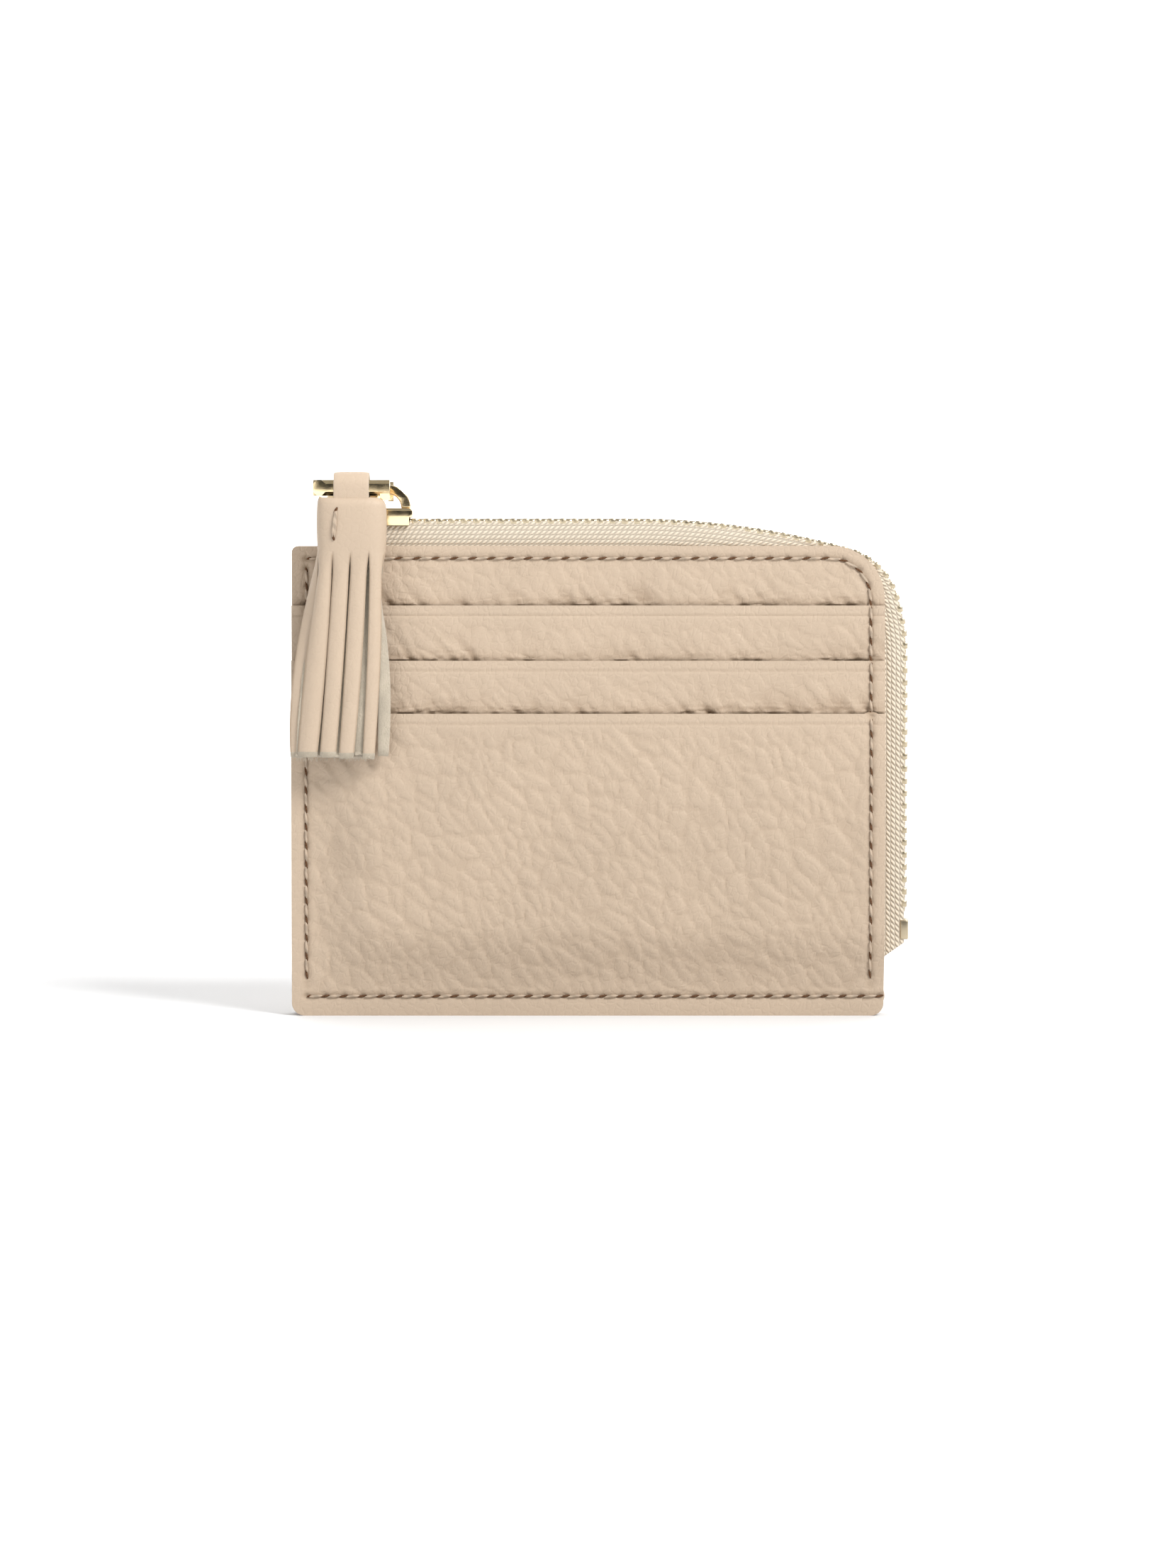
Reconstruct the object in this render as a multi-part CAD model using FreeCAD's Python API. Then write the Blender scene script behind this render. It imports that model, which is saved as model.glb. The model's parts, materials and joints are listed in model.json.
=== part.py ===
import FreeCAD, Part
import math
import os

# A flat zipped card pouch, standing on its bottom seam.
# X runs along the width, Z is up, and the pocketed front faces -Y.
# The origin is on the floor, at the middle of the flat base that the sewn bottom edges make.
# Everything is drawn about the seam plane, where front and back meet, and shifted on saving.
# Millimetres.

V = FreeCAD.Vector

# Leather body
WIDTH = 105.7
HEIGHT = 83.8
CORNER_TOP_LEFT = 1.2
CORNER_TOP_RIGHT = 9.5
CORNER_BOTTOM = 2.3

# Thicknesses, and the small air gap left between two layers
CAVITY_HALF = 1.5
LINING = 0.4
TAPE = 0.5
PANEL = 1.2
POCKET = 1.0
LOWER_POCKET = 1.2
GAP = 0.05

# How the walls close to the sewn left and bottom edges
PINCH_SLOPE = 0.4
PINCH_START_X = -46.1
PINCH_START_Z = 7.3
LINING_INSET = 0.6

# Top edges of the three slip pockets
UPPER_POCKET_TOP = 73.2
MIDDLE_POCKET_TOP = 63.4
LOWER_POCKET_TOP = 54.0

# Seams: distance of each stitch line from the leather's edge, and the thread
SEAM_LEFT = 2.65
SEAM_RIGHT = 2.5
SEAM_TOP = 2.2
SEAM_BOTTOM = 3.5
STITCH_PITCH = 3.3
STITCH_LENGTH = 2.5
STITCH_WIDTH = 0.6
STITCH_HEIGHT = 0.3
STITCH_SLANT = 7.0
STITCH_CLEARANCE = 0.03

# Zip: the line of the tapes' outer edge, as runs and turns
TAPE_LEFT = -45.8
CHAIN_TOP = 88.2
STRAIGHT_END = 8.0
CHAIN_RIGHT = 56.6
SAG_RADIUS = 145.0
SAG_TURN = 15.5
CORNER_RADIUS = 12.0
CORNER_TURN = 72.0
TAPE_END = 12.9
TAPE_INNER_END = 11.2
TAPE_WIDTH = 10.0

# Zip teeth and stops
TOOTH_PITCH = 2.2
TOOTH_LENGTH = 1.25
TOOTH_PROUD = 0.5
TOOTH_DEPTH = 1.0
TOOTH_GAP = 0.3
TEETH_START = -39.6
TEETH_END = 18.5
STOP_LENGTH = 1.8
BOTTOM_STOP_LENGTH = 3.7

# Slider
SLIDER_LEFT = -40.0
SLIDER_RIGHT = -31.2
SLIDER_HALF = 3.3
SLIDER_TOP = 90.5
FLANGE = 0.65
FLANGE_DROP = 1.45
FLOOR_PLATE = 1.2
POST_HALF = 0.22
POST_LENGTH = 2.8
RUN_CLEARANCE = 0.2
CROWN_HALF = 1.3
CROWN_THICK = 1.65
CROWN_FOOT = 1.7
CROWN_RISE = 4.2
CROWN_LEFT = -39.9
CROWN_RIGHT = -31.6

# Pull ring, turning on its round end bar inside the crown
PIN_X = -36.2
PIN_Z = 92.4
PIN_RADIUS = 0.5
RING_LEFT = -48.5
RING_RIGHT = -35.0
BAR_Y = -7.1
BAR_Z = 94.0
BAR_TALL = 2.8
BAR_WIDE = 2.2
BAR_FACET = 0.7

# Tassel
STRAP_LEFT = -45.4
STRAP_WIDTH = 6.3
STRAP_THICK = 0.8
STRAP_BORE = 1.6
STRAP_END = 86.0
CAP_LEFT = -48.5
CAP_WIDTH = 12.4
CAP_HALF = 3.25
CAP_WALL = 0.8
CAP_TOP = 91.7
CAP_BOTTOM = 82.9
CORE_HALF = 1.5
CORE_TOP = 90.5
FRINGE_BOTTOM = 46.1
FRINGE_LEFT = -52.8
FRINGE_WIDTH = 17.3
STRIP_THICK = 1.1
STRIP_GAP = 0.25
FRONT_STRIPS = 5
BACK_STRIPS = 4
FRONT_ROW_Y = (-7.9, -9.6)
BACK_ROW_Y = (-6.4, -8.2)
HAND_STITCH_X = -45.0
HAND_STITCH_Z = (85.2, 90.0)

LEFT = -WIDTH / 2
RIGHT = WIDTH / 2
FAR = 200.0

# Distance of each layer's inner face outside the cavity wall
LINING_IN = 0.0
TAPE_IN = LINING_IN + LINING + GAP
PANEL_IN = TAPE_IN + TAPE + GAP
UPPER_IN = PANEL_IN + PANEL + GAP
MIDDLE_IN = UPPER_IN + POCKET + GAP
LOWER_IN = MIDDLE_IN + POCKET + GAP
LOWER_OUT = LOWER_IN + LOWER_POCKET
PINCH = PANEL_IN - GAP

# From the seam plane to the middle of the base, whose front side has more layers than its back
BASE_SHIFT = (LOWER_OUT - PANEL_IN - PANEL) / 2


def box(x0, x1, y0, y1, z0, z1):
    return Part.makeBox(x1 - x0, y1 - y0, z1 - z0, V(x0, y0, z0))


def prism(points, along):
    """Solid swept from a closed outline of points by the vector along."""
    wire = Part.makePolygon(points + [points[0]])
    return Part.Face(wire).extrude(along)


def mirrored(shape):
    """The same shape on the other side of the seam plane."""
    return shape.mirror(V(0, 0, 0), V(0, 1, 0))


def save(name, shape):
    placed = shape.copy()
    placed.translate(V(0, BASE_SHIFT, 0))
    placed.exportStep("parts/" + name + ".step")


# Leather sheets ---------------------------------------------------------------

def rounded_plate(x0, x1, z0, z1, corners):
    """Upright plate through the whole depth, with vertical-edge radii at its four corners."""
    plate = box(x0, x1, -FAR, FAR, z0, z1)
    for (x, z), radius in corners.items():
        edges = [e for e in plate.Edges
                 if abs(e.BoundBox.XMin - x) < 1e-6 and abs(e.BoundBox.XMax - x) < 1e-6
                 and abs(e.BoundBox.ZMin - z) < 1e-6 and abs(e.BoundBox.ZMax - z) < 1e-6]
        plate = plate.makeFillet(radius, edges)
    return plate


def leather_outline(top):
    """Outline of a leather piece whose upper edge is at the height top."""
    corners = {(LEFT, 0): CORNER_BOTTOM, (RIGHT, 0): CORNER_BOTTOM}
    plate = rounded_plate(LEFT, RIGHT, 0, HEIGHT,
                          {**corners, (LEFT, HEIGHT): CORNER_TOP_LEFT, (RIGHT, HEIGHT): CORNER_TOP_RIGHT})
    return plate.common(box(-FAR, FAR, -FAR, FAR, -1, top))


def filled(offset):
    """Front half of the pouch, out to the given distance from the cavity wall."""
    deep = -(CAVITY_HALF + offset)
    toe = offset / PINCH_SLOPE
    full = CAVITY_HALF / PINCH_SLOPE
    side = prism([V(PINCH_START_X - toe, 0, -1), V(PINCH_START_X + full, deep, -1),
                  V(FAR, deep, -1), V(FAR, 0, -1)], V(0, 0, FAR))
    base = prism([V(-FAR, 0, PINCH_START_Z - toe), V(-FAR, deep, PINCH_START_Z + full),
                  V(-FAR, deep, FAR), V(-FAR, 0, FAR)], V(2 * FAR, 0, 0))
    shape = side.common(base)
    if offset > PINCH:
        shape = shape.fuse(box(-FAR, FAR, PINCH - offset, 0, -1, FAR)).removeSplitter()
    return shape


def layer(inner, thickness, outline):
    """One sheet of the front, thickness outwards from its inner face."""
    return filled(inner + thickness).common(outline).cut(filled(inner))


def depth_at(offset, x, z):
    """How far in front of the seam plane a layer's face lies."""
    wall = min(CAVITY_HALF, PINCH_SLOPE * (x - PINCH_START_X), PINCH_SLOPE * (z - PINCH_START_Z))
    return max(offset - PINCH, offset + wall)


def front_face(z):
    """Outer face of whichever front layer is outermost at a height."""
    if z < LOWER_POCKET_TOP:
        return LOWER_OUT
    if z < MIDDLE_POCKET_TOP:
        return LOWER_IN - GAP
    if z < UPPER_POCKET_TOP:
        return MIDDLE_IN - GAP
    return UPPER_IN - GAP


def back_face(z):
    return UPPER_IN - GAP


# Paths in the XZ plane --------------------------------------------------------

class Path:
    """A line of straight runs and arcs that all turn clockwise, walked from its start."""

    def __init__(self, x, z, heading=0.0):
        self.pieces = []
        self.x, self.z, self.heading = x, z, heading

    def run(self, length):
        self.pieces.append((self.x, self.z, self.heading, length, None))
        self.x += length * math.cos(math.radians(self.heading))
        self.z -= length * math.sin(math.radians(self.heading))
        return self

    def turn(self, radius, heading):
        length = radius * math.radians(heading - self.heading)
        self.pieces.append((self.x, self.z, self.heading, length, radius))
        self.x, self.z, self.heading = self.point(self.pieces[-1], length)
        return self

    def length(self):
        return sum(piece[3] for piece in self.pieces)

    @staticmethod
    def point(piece, s):
        x, z, heading, _, radius = piece
        a = math.radians(heading)
        if radius is None:
            return x + s * math.cos(a), z - s * math.sin(a), heading
        b = a + s / radius
        x += radius * (math.sin(b) - math.sin(a))
        z -= radius * (math.cos(a) - math.cos(b))
        return x, z, math.degrees(b)

    def at(self, s):
        for piece in self.pieces:
            if s <= piece[3]:
                return self.point(piece, s)
            s -= piece[3]
        return self.point(self.pieces[-1], self.pieces[-1][3] + s)

    def edges(self, inset=0.0):
        """Edges of the line moved inwards, to the right of the walking direction."""
        result = []
        for piece in self.pieces:
            ends = [self.inset_point(piece, piece[3] * share, inset) for share in (0, 0.5, 1)]
            if piece[4] is None:
                result.append(Part.LineSegment(ends[0], ends[2]).toShape())
            else:
                result.append(Part.Arc(*ends).toShape())
        return result

    def inset_point(self, piece, s, inset):
        x, z, heading = self.point(piece, s)
        a = math.radians(heading)
        return V(x - inset * math.sin(a), 0, z - inset * math.cos(a))


def zip_line():
    line = Path(TAPE_LEFT, CHAIN_TOP)
    line.run(STRAIGHT_END - TAPE_LEFT)
    line.turn(SAG_RADIUS, SAG_TURN)
    line.turn(CORNER_RADIUS, CORNER_TURN)
    ease = (CHAIN_RIGHT - line.x) / (1 - math.sin(math.radians(CORNER_TURN)))
    line.turn(ease, 90.0)
    line.run(line.z - TAPE_END)
    return line


def zip_seam_line():
    radius = CORNER_TOP_RIGHT - (SEAM_TOP + SEAM_RIGHT) / 2
    line = Path(LEFT + SEAM_LEFT, HEIGHT - SEAM_TOP)
    line.run(RIGHT - SEAM_RIGHT - radius - line.x)
    line.turn(radius, 90.0)
    line.run(line.z - SEAM_BOTTOM - STITCH_PITCH / 2)
    return line


# Zip --------------------------------------------------------------------------

def zip_tape():
    """Front tape: a flat band inside the chain line, cut aslant at its lower end."""
    line = zip_line()
    outer = line.edges()
    inner = line.edges(TAPE_WIDTH)
    start = Part.LineSegment(outer[0].Vertexes[0].Point, inner[0].Vertexes[0].Point).toShape()
    end = Part.LineSegment(outer[-1].Vertexes[1].Point, inner[-1].Vertexes[1].Point).toShape()
    wire = Part.Wire(Part.__sortEdges__(outer + inner + [start, end]))
    band = Part.Face(wire).extrude(V(0, -FAR, 0))
    near, far = CHAIN_RIGHT - TAPE_WIDTH - 1, CHAIN_RIGHT + 1
    corners = [V(far, -FAR, TAPE_END), V(near, -FAR, TAPE_INNER_END), V(near, -FAR, -1), V(far, -FAR, -1)]
    slant = prism(corners, V(0, FAR, 0))
    return layer(TAPE_IN, TAPE, band.cut(slant))


def tooth():
    """One front tooth about the tape's edge, its length along X and its tip towards +Z."""
    half = TOOTH_LENGTH / 2
    face = -(CAVITY_HALF + TAPE_IN)
    body = box(-half, half, face + GAP, -TOOTH_GAP, -TOOTH_DEPTH, TOOTH_PROUD)
    shoulder = box(-half, half, face - TAPE + 0.1, face + GAP, GAP, TOOTH_PROUD)
    return body.fuse(shoulder).removeSplitter()


def on_path(shape, place):
    x, z, heading = place
    moved = shape.copy()
    moved.rotate(V(0, 0, 0), V(0, 1, 0), heading)
    moved.translate(V(x, 0, z))
    return moved


def teeth(shift):
    line = zip_line()
    first = TEETH_START - TAPE_LEFT + shift
    last = line.length() - (TEETH_END - TAPE_END)
    count = int((last - first) / TOOTH_PITCH) + 1
    blank = tooth()
    return [on_path(blank, line.at(first + i * TOOTH_PITCH)) for i in range(count)]


def top_stops():
    line = zip_line()
    place = line.at(SLIDER_LEFT - 0.8 - STOP_LENGTH / 2 - TAPE_LEFT)
    blank = box(-STOP_LENGTH / 2, STOP_LENGTH / 2, -(CAVITY_HALF + TAPE_IN) + 4 * GAP, -TOOTH_GAP,
                -TOOTH_DEPTH, TOOTH_PROUD + 0.2)
    front = on_path(blank, place)
    return [front, mirrored(front)]


def bottom_stop():
    half = CAVITY_HALF + TAPE_IN - GAP
    block = box(CHAIN_RIGHT - TOOTH_DEPTH, CHAIN_RIGHT + TOOTH_PROUD + 0.3, -half, half,
                TAPE_END + 0.5, TAPE_END + 0.5 + BOTTOM_STOP_LENGTH)
    tip = [e for e in block.Edges if e.BoundBox.XMin > CHAIN_RIGHT and e.BoundBox.YLength > 1]
    return block.makeChamfer(0.4, tip)


# Slider, ring and tassel --------------------------------------------------------

def slider_body():
    roof_low = CHAIN_TOP + TOOTH_PROUD + RUN_CLEARANCE
    floor_top = CHAIN_TOP - TOOTH_DEPTH - RUN_CLEARANCE
    roof = box(SLIDER_LEFT, SLIDER_RIGHT, -SLIDER_HALF, SLIDER_HALF, roof_low, SLIDER_TOP)
    rim = [e for e in roof.Edges if abs(e.BoundBox.ZMin - SLIDER_TOP) < 1e-6]
    roof = roof.makeChamfer(0.45, rim)
    left, right = SLIDER_LEFT + 0.6, SLIDER_RIGHT - 0.6
    pieces = []
    for side in (-1, 1):
        y0, y1 = sorted((side * SLIDER_HALF, side * (SLIDER_HALF - FLANGE)))
        pieces.append(box(left, right, y0, y1, roof_low - FLANGE_DROP, roof_low + 0.1))
    pieces.append(box(SLIDER_LEFT + 0.2, SLIDER_LEFT + 0.2 + POST_LENGTH, -POST_HALF, POST_HALF,
                      floor_top - 0.1, roof_low + 0.1))
    floor_half = CAVITY_HALF + TAPE_IN - RUN_CLEARANCE
    pieces.append(box(SLIDER_LEFT + 0.4, SLIDER_RIGHT - 0.4, -floor_half, floor_half,
                      floor_top - FLOOR_PLATE, floor_top))
    return roof.multiFuse(pieces).removeSplitter()


def arch_face(left, right, base, rise):
    middle = (left + right) / 2
    arc = Part.Arc(V(left, 0, base), V(middle, 0, base + rise), V(right, 0, base)).toShape()
    chord = Part.LineSegment(V(right, 0, base), V(left, 0, base)).toShape()
    return Part.Face(Part.Wire([arc, chord]))


def slider_crown():
    base = SLIDER_TOP + GAP / 2
    outer = arch_face(CROWN_LEFT, CROWN_RIGHT, base, CROWN_RISE).extrude(V(0, 2 * CROWN_HALF, 0))
    inner = arch_face(CROWN_LEFT + CROWN_FOOT, CROWN_RIGHT - CROWN_FOOT, base,
                      CROWN_RISE - CROWN_THICK).extrude(V(0, 2 * CROWN_HALF, 0))
    arch = outer.cut(inner)
    arch.translate(V(0, -CROWN_HALF, 0))
    return arch


def faceted_bar(start, end):
    """Bar between two points at the same height, with bevelled long edges."""
    along = end - start
    across = V(-along.y, along.x, 0).normalize()
    corners = []
    wide, tall = BAR_WIDE / 2, BAR_TALL / 2
    for a, b in ((1, 1), (-1, 1), (-1, -1), (1, -1)):
        first = (a * wide, b * (tall - BAR_FACET))
        second = (a * (wide - BAR_FACET), b * tall)
        corners += [first, second] if a * b > 0 else [second, first]
    points = [start + across * u + V(0, 0, v) for u, v in corners]
    return prism(points, along)


def pull_ring():
    low_x, high_x = RING_LEFT + BAR_WIDE / 2, RING_RIGHT
    pieces = []
    for y in (BAR_Y, -BAR_Y):
        pieces.append(faceted_bar(V(RING_LEFT, y, BAR_Z), V(high_x, y, BAR_Z)))
        y0, y1 = y - BAR_WIDE / 2 + 0.3, y + BAR_WIDE / 2 - 0.3
        pieces.append(box(PIN_X - PIN_RADIUS, RING_RIGHT, y0, y1, PIN_Z - PIN_RADIUS, BAR_Z))
    edge = -BAR_Y + BAR_WIDE / 2
    pieces.append(faceted_bar(V(low_x, -edge, BAR_Z), V(low_x, edge, BAR_Z)))
    pin = Part.makeCylinder(PIN_RADIUS, 2 * edge - 0.8, V(PIN_X, -edge + 0.4, PIN_Z), V(0, 1, 0))
    return pin.multiFuse(pieces).removeSplitter()


def tassel_strap():
    """Narrow strap passed over the ring's front bar, both ends running down into the cap."""
    def tongue(radius):
        head = Part.makeCylinder(radius, STRAP_WIDTH, V(STRAP_LEFT, BAR_Y, BAR_Z), V(1, 0, 0))
        legs = box(STRAP_LEFT, STRAP_LEFT + STRAP_WIDTH, BAR_Y - radius, BAR_Y + radius, STRAP_END, BAR_Z)
        return head.fuse(legs)
    return tongue(STRAP_BORE + STRAP_THICK).cut(tongue(STRAP_BORE)).removeSplitter()


def rounded_block(x0, x1, half, z0, z1, radius):
    block = box(x0, x1, BAR_Y - half, BAR_Y + half, z0, z1)
    return block.makeFillet(radius, [e for e in block.Edges if e.BoundBox.ZLength > 1])


def tassel_cap():
    right = CAP_LEFT + CAP_WIDTH
    outer = rounded_block(CAP_LEFT, right, CAP_HALF, CAP_BOTTOM, CAP_TOP, 1.8)
    inner = rounded_block(CAP_LEFT + CAP_WALL, right - CAP_WALL, CAP_HALF - CAP_WALL,
                          CAP_BOTTOM - 1, CAP_TOP + 1, 1.0)
    return outer.cut(inner)


def strip(x_top, x_low, width_top, width_low, rows):
    """One hanging strip, from the cap's mouth to its free end."""
    wires = []
    ends = ((x_top, width_top, rows[0], CAP_BOTTOM + 1.5), (x_low, width_low, rows[1], FRINGE_BOTTOM))
    for x, width, y, z in ends:
        y0, y1 = y - STRIP_THICK / 2, y + STRIP_THICK / 2
        points = [V(x, y0, z), V(x + width, y0, z), V(x + width, y1, z), V(x, y1, z)]
        wires.append(Part.makePolygon(points + [points[0]]))
    return Part.makeLoft(wires, True, True)


def tassel_fringe():
    """Rolled leather core with the strips that are cut into its lower part."""
    left = CAP_LEFT + CAP_WALL + 0.2
    width = CAP_WIDTH - 2 * CAP_WALL - 0.4
    core = box(left, left + width, BAR_Y - CORE_HALF, BAR_Y + CORE_HALF, CAP_BOTTOM + 0.4, CORE_TOP)
    strips = []
    for count, rows, inset in ((FRONT_STRIPS, FRONT_ROW_Y, 0.0), (BACK_STRIPS, BACK_ROW_Y, 1.4)):
        step_top = width / count
        step_low = (FRINGE_WIDTH - 2 * inset) / count
        for i in range(count):
            x_top = left + i * step_top + STRIP_GAP / 2
            x_low = FRINGE_LEFT + inset + i * step_low + STRIP_GAP / 2
            strips.append(strip(x_top, x_low, step_top - STRIP_GAP, step_low - STRIP_GAP, rows))
    return core.multiFuse(strips)


# Threads ------------------------------------------------------------------------

def stitch(length, width):
    """Lens-shaped stretch of thread lying on a face, its length along X, standing out towards -Y."""
    half, side = length / 2, width / 2
    points = [V(-half, 0, 0), V(-half / 2, 0, side), V(half / 2, 0, side),
              V(half, 0, 0), V(half / 2, 0, -side), V(-half / 2, 0, -side)]
    return prism(points, V(0, -STITCH_HEIGHT, 0))


def thread_row(line, face, start=0.0):
    """Stitches along a line, each clear of the layer that stands out furthest beneath it."""
    blank = stitch(STITCH_LENGTH, STITCH_WIDTH)
    blank.rotate(V(0, 0, 0), V(0, 1, 0), STITCH_SLANT)
    count = int((line.length() - start) / STITCH_PITCH)
    row = []
    for i in range(count):
        middle = start + (i + 0.5) * STITCH_PITCH
        spots = [line.at(middle + share * STITCH_LENGTH) for share in (-0.5, 0.0, 0.5)]
        depth = max(depth_at(face(z - STITCH_WIDTH), x + STITCH_WIDTH / 2, z + STITCH_WIDTH / 2)
                    for x, z, _ in spots)
        piece = on_path(blank, spots[1])
        piece.translate(V(0, -depth - STITCH_CLEARANCE, 0))
        row.append(piece)
    return row


def seam_threads(line, start=0.0):
    front = thread_row(line, front_face, start)
    back = [mirrored(piece) for piece in thread_row(line, back_face, start)]
    return front, back


def hand_stitch():
    low, high = HAND_STITCH_Z
    piece = stitch(high - low, 0.9)
    piece.rotate(V(0, 0, 0), V(0, 1, 0), 86.0)
    piece.translate(V(HAND_STITCH_X, BAR_Y - CAP_HALF - STITCH_CLEARANCE, (low + high) / 2))
    return piece


def build():
    os.makedirs("parts", exist_ok=True)
    whole = leather_outline(HEIGHT)
    lining_outline = box(PINCH_START_X + LINING_INSET, RIGHT - 5.0, -FAR, FAR,
                         PINCH_START_Z + LINING_INSET, HEIGHT - 6.5)
    lining = layer(LINING_IN, LINING, lining_outline)
    panel = layer(PANEL_IN, PANEL, whole)
    save("front_lining", lining)
    save("back_lining", mirrored(lining))
    save("front_base_panel", panel)
    save("back_panel", mirrored(panel))
    save("upper_pocket", layer(UPPER_IN, POCKET, leather_outline(UPPER_POCKET_TOP)))
    save("middle_pocket", layer(MIDDLE_IN, POCKET, leather_outline(MIDDLE_POCKET_TOP)))
    save("lower_pocket", layer(LOWER_IN, LOWER_POCKET, leather_outline(LOWER_POCKET_TOP)))

    tape = zip_tape()
    save("zip_tape_front", tape)
    save("zip_tape_back", mirrored(tape))
    save("zip_teeth_front", Part.Compound(teeth(0.0)))
    save("zip_teeth_back", Part.Compound([mirrored(piece) for piece in teeth(TOOTH_PITCH / 2)]))
    save("zip_top_stops", Part.Compound(top_stops()))
    save("zip_bottom_stop", bottom_stop())

    save("slider_body", slider_body())
    save("slider_crown", slider_crown())
    save("pull_ring", pull_ring())
    save("tassel_strap", tassel_strap())
    save("tassel_cap", tassel_cap())
    save("tassel_fringe", tassel_fringe())
    save("tassel_hand_stitch", hand_stitch())

    front, back = seam_threads(zip_seam_line())
    save("zip_seam_thread_front", Part.Compound(front))
    save("zip_seam_thread_back", Part.Compound(back))
    left_line = Path(LEFT + SEAM_LEFT, HEIGHT - SEAM_TOP - STITCH_PITCH / 2, 90.0)
    left_line.run(left_line.z - SEAM_BOTTOM - STITCH_PITCH / 2)
    bottom_line = Path(LEFT + SEAM_LEFT, SEAM_BOTTOM)
    bottom_line.run(RIGHT - bottom_line.x)
    for name, line in (("side_seam_thread", left_line), ("bottom_seam_thread", bottom_line)):
        front, back = seam_threads(line)
        save(name, Part.Compound(front + back))


build()
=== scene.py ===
import json
import math
import random

import bmesh
import bpy
from bpy.props import FloatProperty, FloatVectorProperty, PointerProperty
from mathutils import Matrix, Vector, kdtree, noise


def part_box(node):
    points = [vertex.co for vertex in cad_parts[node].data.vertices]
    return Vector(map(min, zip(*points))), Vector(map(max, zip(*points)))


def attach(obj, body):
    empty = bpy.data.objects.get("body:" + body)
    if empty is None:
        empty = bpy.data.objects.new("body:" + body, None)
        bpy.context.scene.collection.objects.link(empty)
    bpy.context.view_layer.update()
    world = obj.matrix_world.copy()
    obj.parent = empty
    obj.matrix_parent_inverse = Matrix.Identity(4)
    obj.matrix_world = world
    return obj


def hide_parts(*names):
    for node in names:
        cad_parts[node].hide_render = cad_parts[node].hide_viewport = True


bl_info = {
    "name": "Zipped Card Pouch",
    "version": (1, 0, 0),
    "blender": (4, 5, 0),
    "location": "View3D > Sidebar > Pouch",
    "description": "Builds the leather, zip, hardware and tassel of a zipped card pouch on its packed frame",
    "category": "Add Mesh",
}

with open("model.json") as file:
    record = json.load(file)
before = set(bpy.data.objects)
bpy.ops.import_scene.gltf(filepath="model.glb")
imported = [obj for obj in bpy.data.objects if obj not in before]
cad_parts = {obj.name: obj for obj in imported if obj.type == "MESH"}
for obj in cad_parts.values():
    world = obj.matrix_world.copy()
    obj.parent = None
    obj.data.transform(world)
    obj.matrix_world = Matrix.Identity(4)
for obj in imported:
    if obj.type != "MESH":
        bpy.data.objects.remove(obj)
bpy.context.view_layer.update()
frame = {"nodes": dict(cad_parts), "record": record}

# All modelling below is in millimetres; a finished piece is scaled to metres as it is stored.
MM = 0.001


def cad(node):
    """Lowest and highest corner of a frame node, in millimetres."""
    low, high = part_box(node)
    return low / MM, high / MM


# Places taken from the frame
PANEL_LOW, PANEL_HIGH = cad("front_base_panel")
BACK_LOW, BACK_HIGH = cad("back_panel")
LEFT, RIGHT, TOP = PANEL_LOW.x, PANEL_HIGH.x, PANEL_HIGH.z
SEAM_Y = (PANEL_HIGH.y + BACK_LOW.y) / 2
FRONT_LAYERS = ("front_base_panel", "upper_pocket", "middle_pocket", "lower_pocket")
LAYER_TOPS = [cad(node)[1].z for node in FRONT_LAYERS]
LAYER_DEPTHS = [SEAM_Y - cad(node)[0].y for node in FRONT_LAYERS]
BACK_DEPTH = BACK_HIGH.y - SEAM_Y
TAPE_LOW, TAPE_HIGH = cad("zip_tape_front")
RING_TOP = cad("pull_ring")[1].z
STRAP_LOW, STRAP_HIGH = cad("tassel_strap")
CAP_LOW, CAP_HIGH = cad("tassel_cap")
FRINGE_LOW = cad("tassel_fringe")[0]
STOP_LOW, STOP_HIGH = cad("zip_bottom_stop")
SLIDER_TRAVEL = frame["record"]["behaviour"]["joints"][0]["range_m"][1] / MM
SLIDER_CLEARANCE = 1.5
SLIDER_REACH = cad("slider_body")[1].x + SLIDER_TRAVEL + SLIDER_CLEARANCE

# How the walls run in to the sewn left and bottom edges
PINCH_DROP = 2.45
CLOSE_FROM_X = LEFT + 3.6
CLOSE_FROM_Z = 4.2
CLOSE_RUN = 12.0
TAPE_CLOSE_RUN = 7.9
CORNER_TOP_RIGHT = 9.5
CORNER_TOP_LEFT = 1.2
CORNER_BOTTOM = 2.3

# Seam lines, measured from the leather's edge
SEAM_LEFT = 2.65
SEAM_RIGHT = 2.5
SEAM_TOP = 2.2
SEAM_BOTTOM = 3.5

# The zip's line: straight, sagging arc, corner arc, easing arc, straight
STRAIGHT_END = 8.0
SAG_RADIUS = 145.0
SAG_TURN = 15.5
CORNER_RADIUS = 12.0
CORNER_TURN = 72.0
FIRST_TOOTH_X = -39.6
LAST_TOOTH_Z = 18.5
HOOKED_TIP, OPEN_TIP = 0.5, -0.27
TAPE_DEPTH = 2.2
TAPE_WIDTH = 10.0
TAPE_FOOT = 9.0

# Thickness of the sheets
LAYER_THICKNESS = (1.15, 0.92, 0.92, 1.12)
BACK_THICKNESS = 1.15
LINING_THICKNESS = 0.3
TAPE_THICKNESS = 0.5
STRAP_THICKNESS = 0.75

# Size of one grain cell, and how far the sewing pulls the leather in
PEBBLE_WIDTH, PEBBLE_LENGTH = 2.45, 5.4
SEAM_PULL, SEAM_PULL_WIDTH = 0.2, 0.75
HOLE_PULL, HOLE_PULL_WIDTH = 0.28, 0.5
SEAM_PULL_REACH = 2.5

# Spacing of the grids that carry the relief
RIM_SPACING = 0.34
EDGE_SPACING = 0.25
FRONT_SPACING = 0.43
BACK_SPACING = (0.5, 0.6)
HIDDEN_SPACING = 1.3


# Settings -----------------------------------------------------------------------

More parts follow.
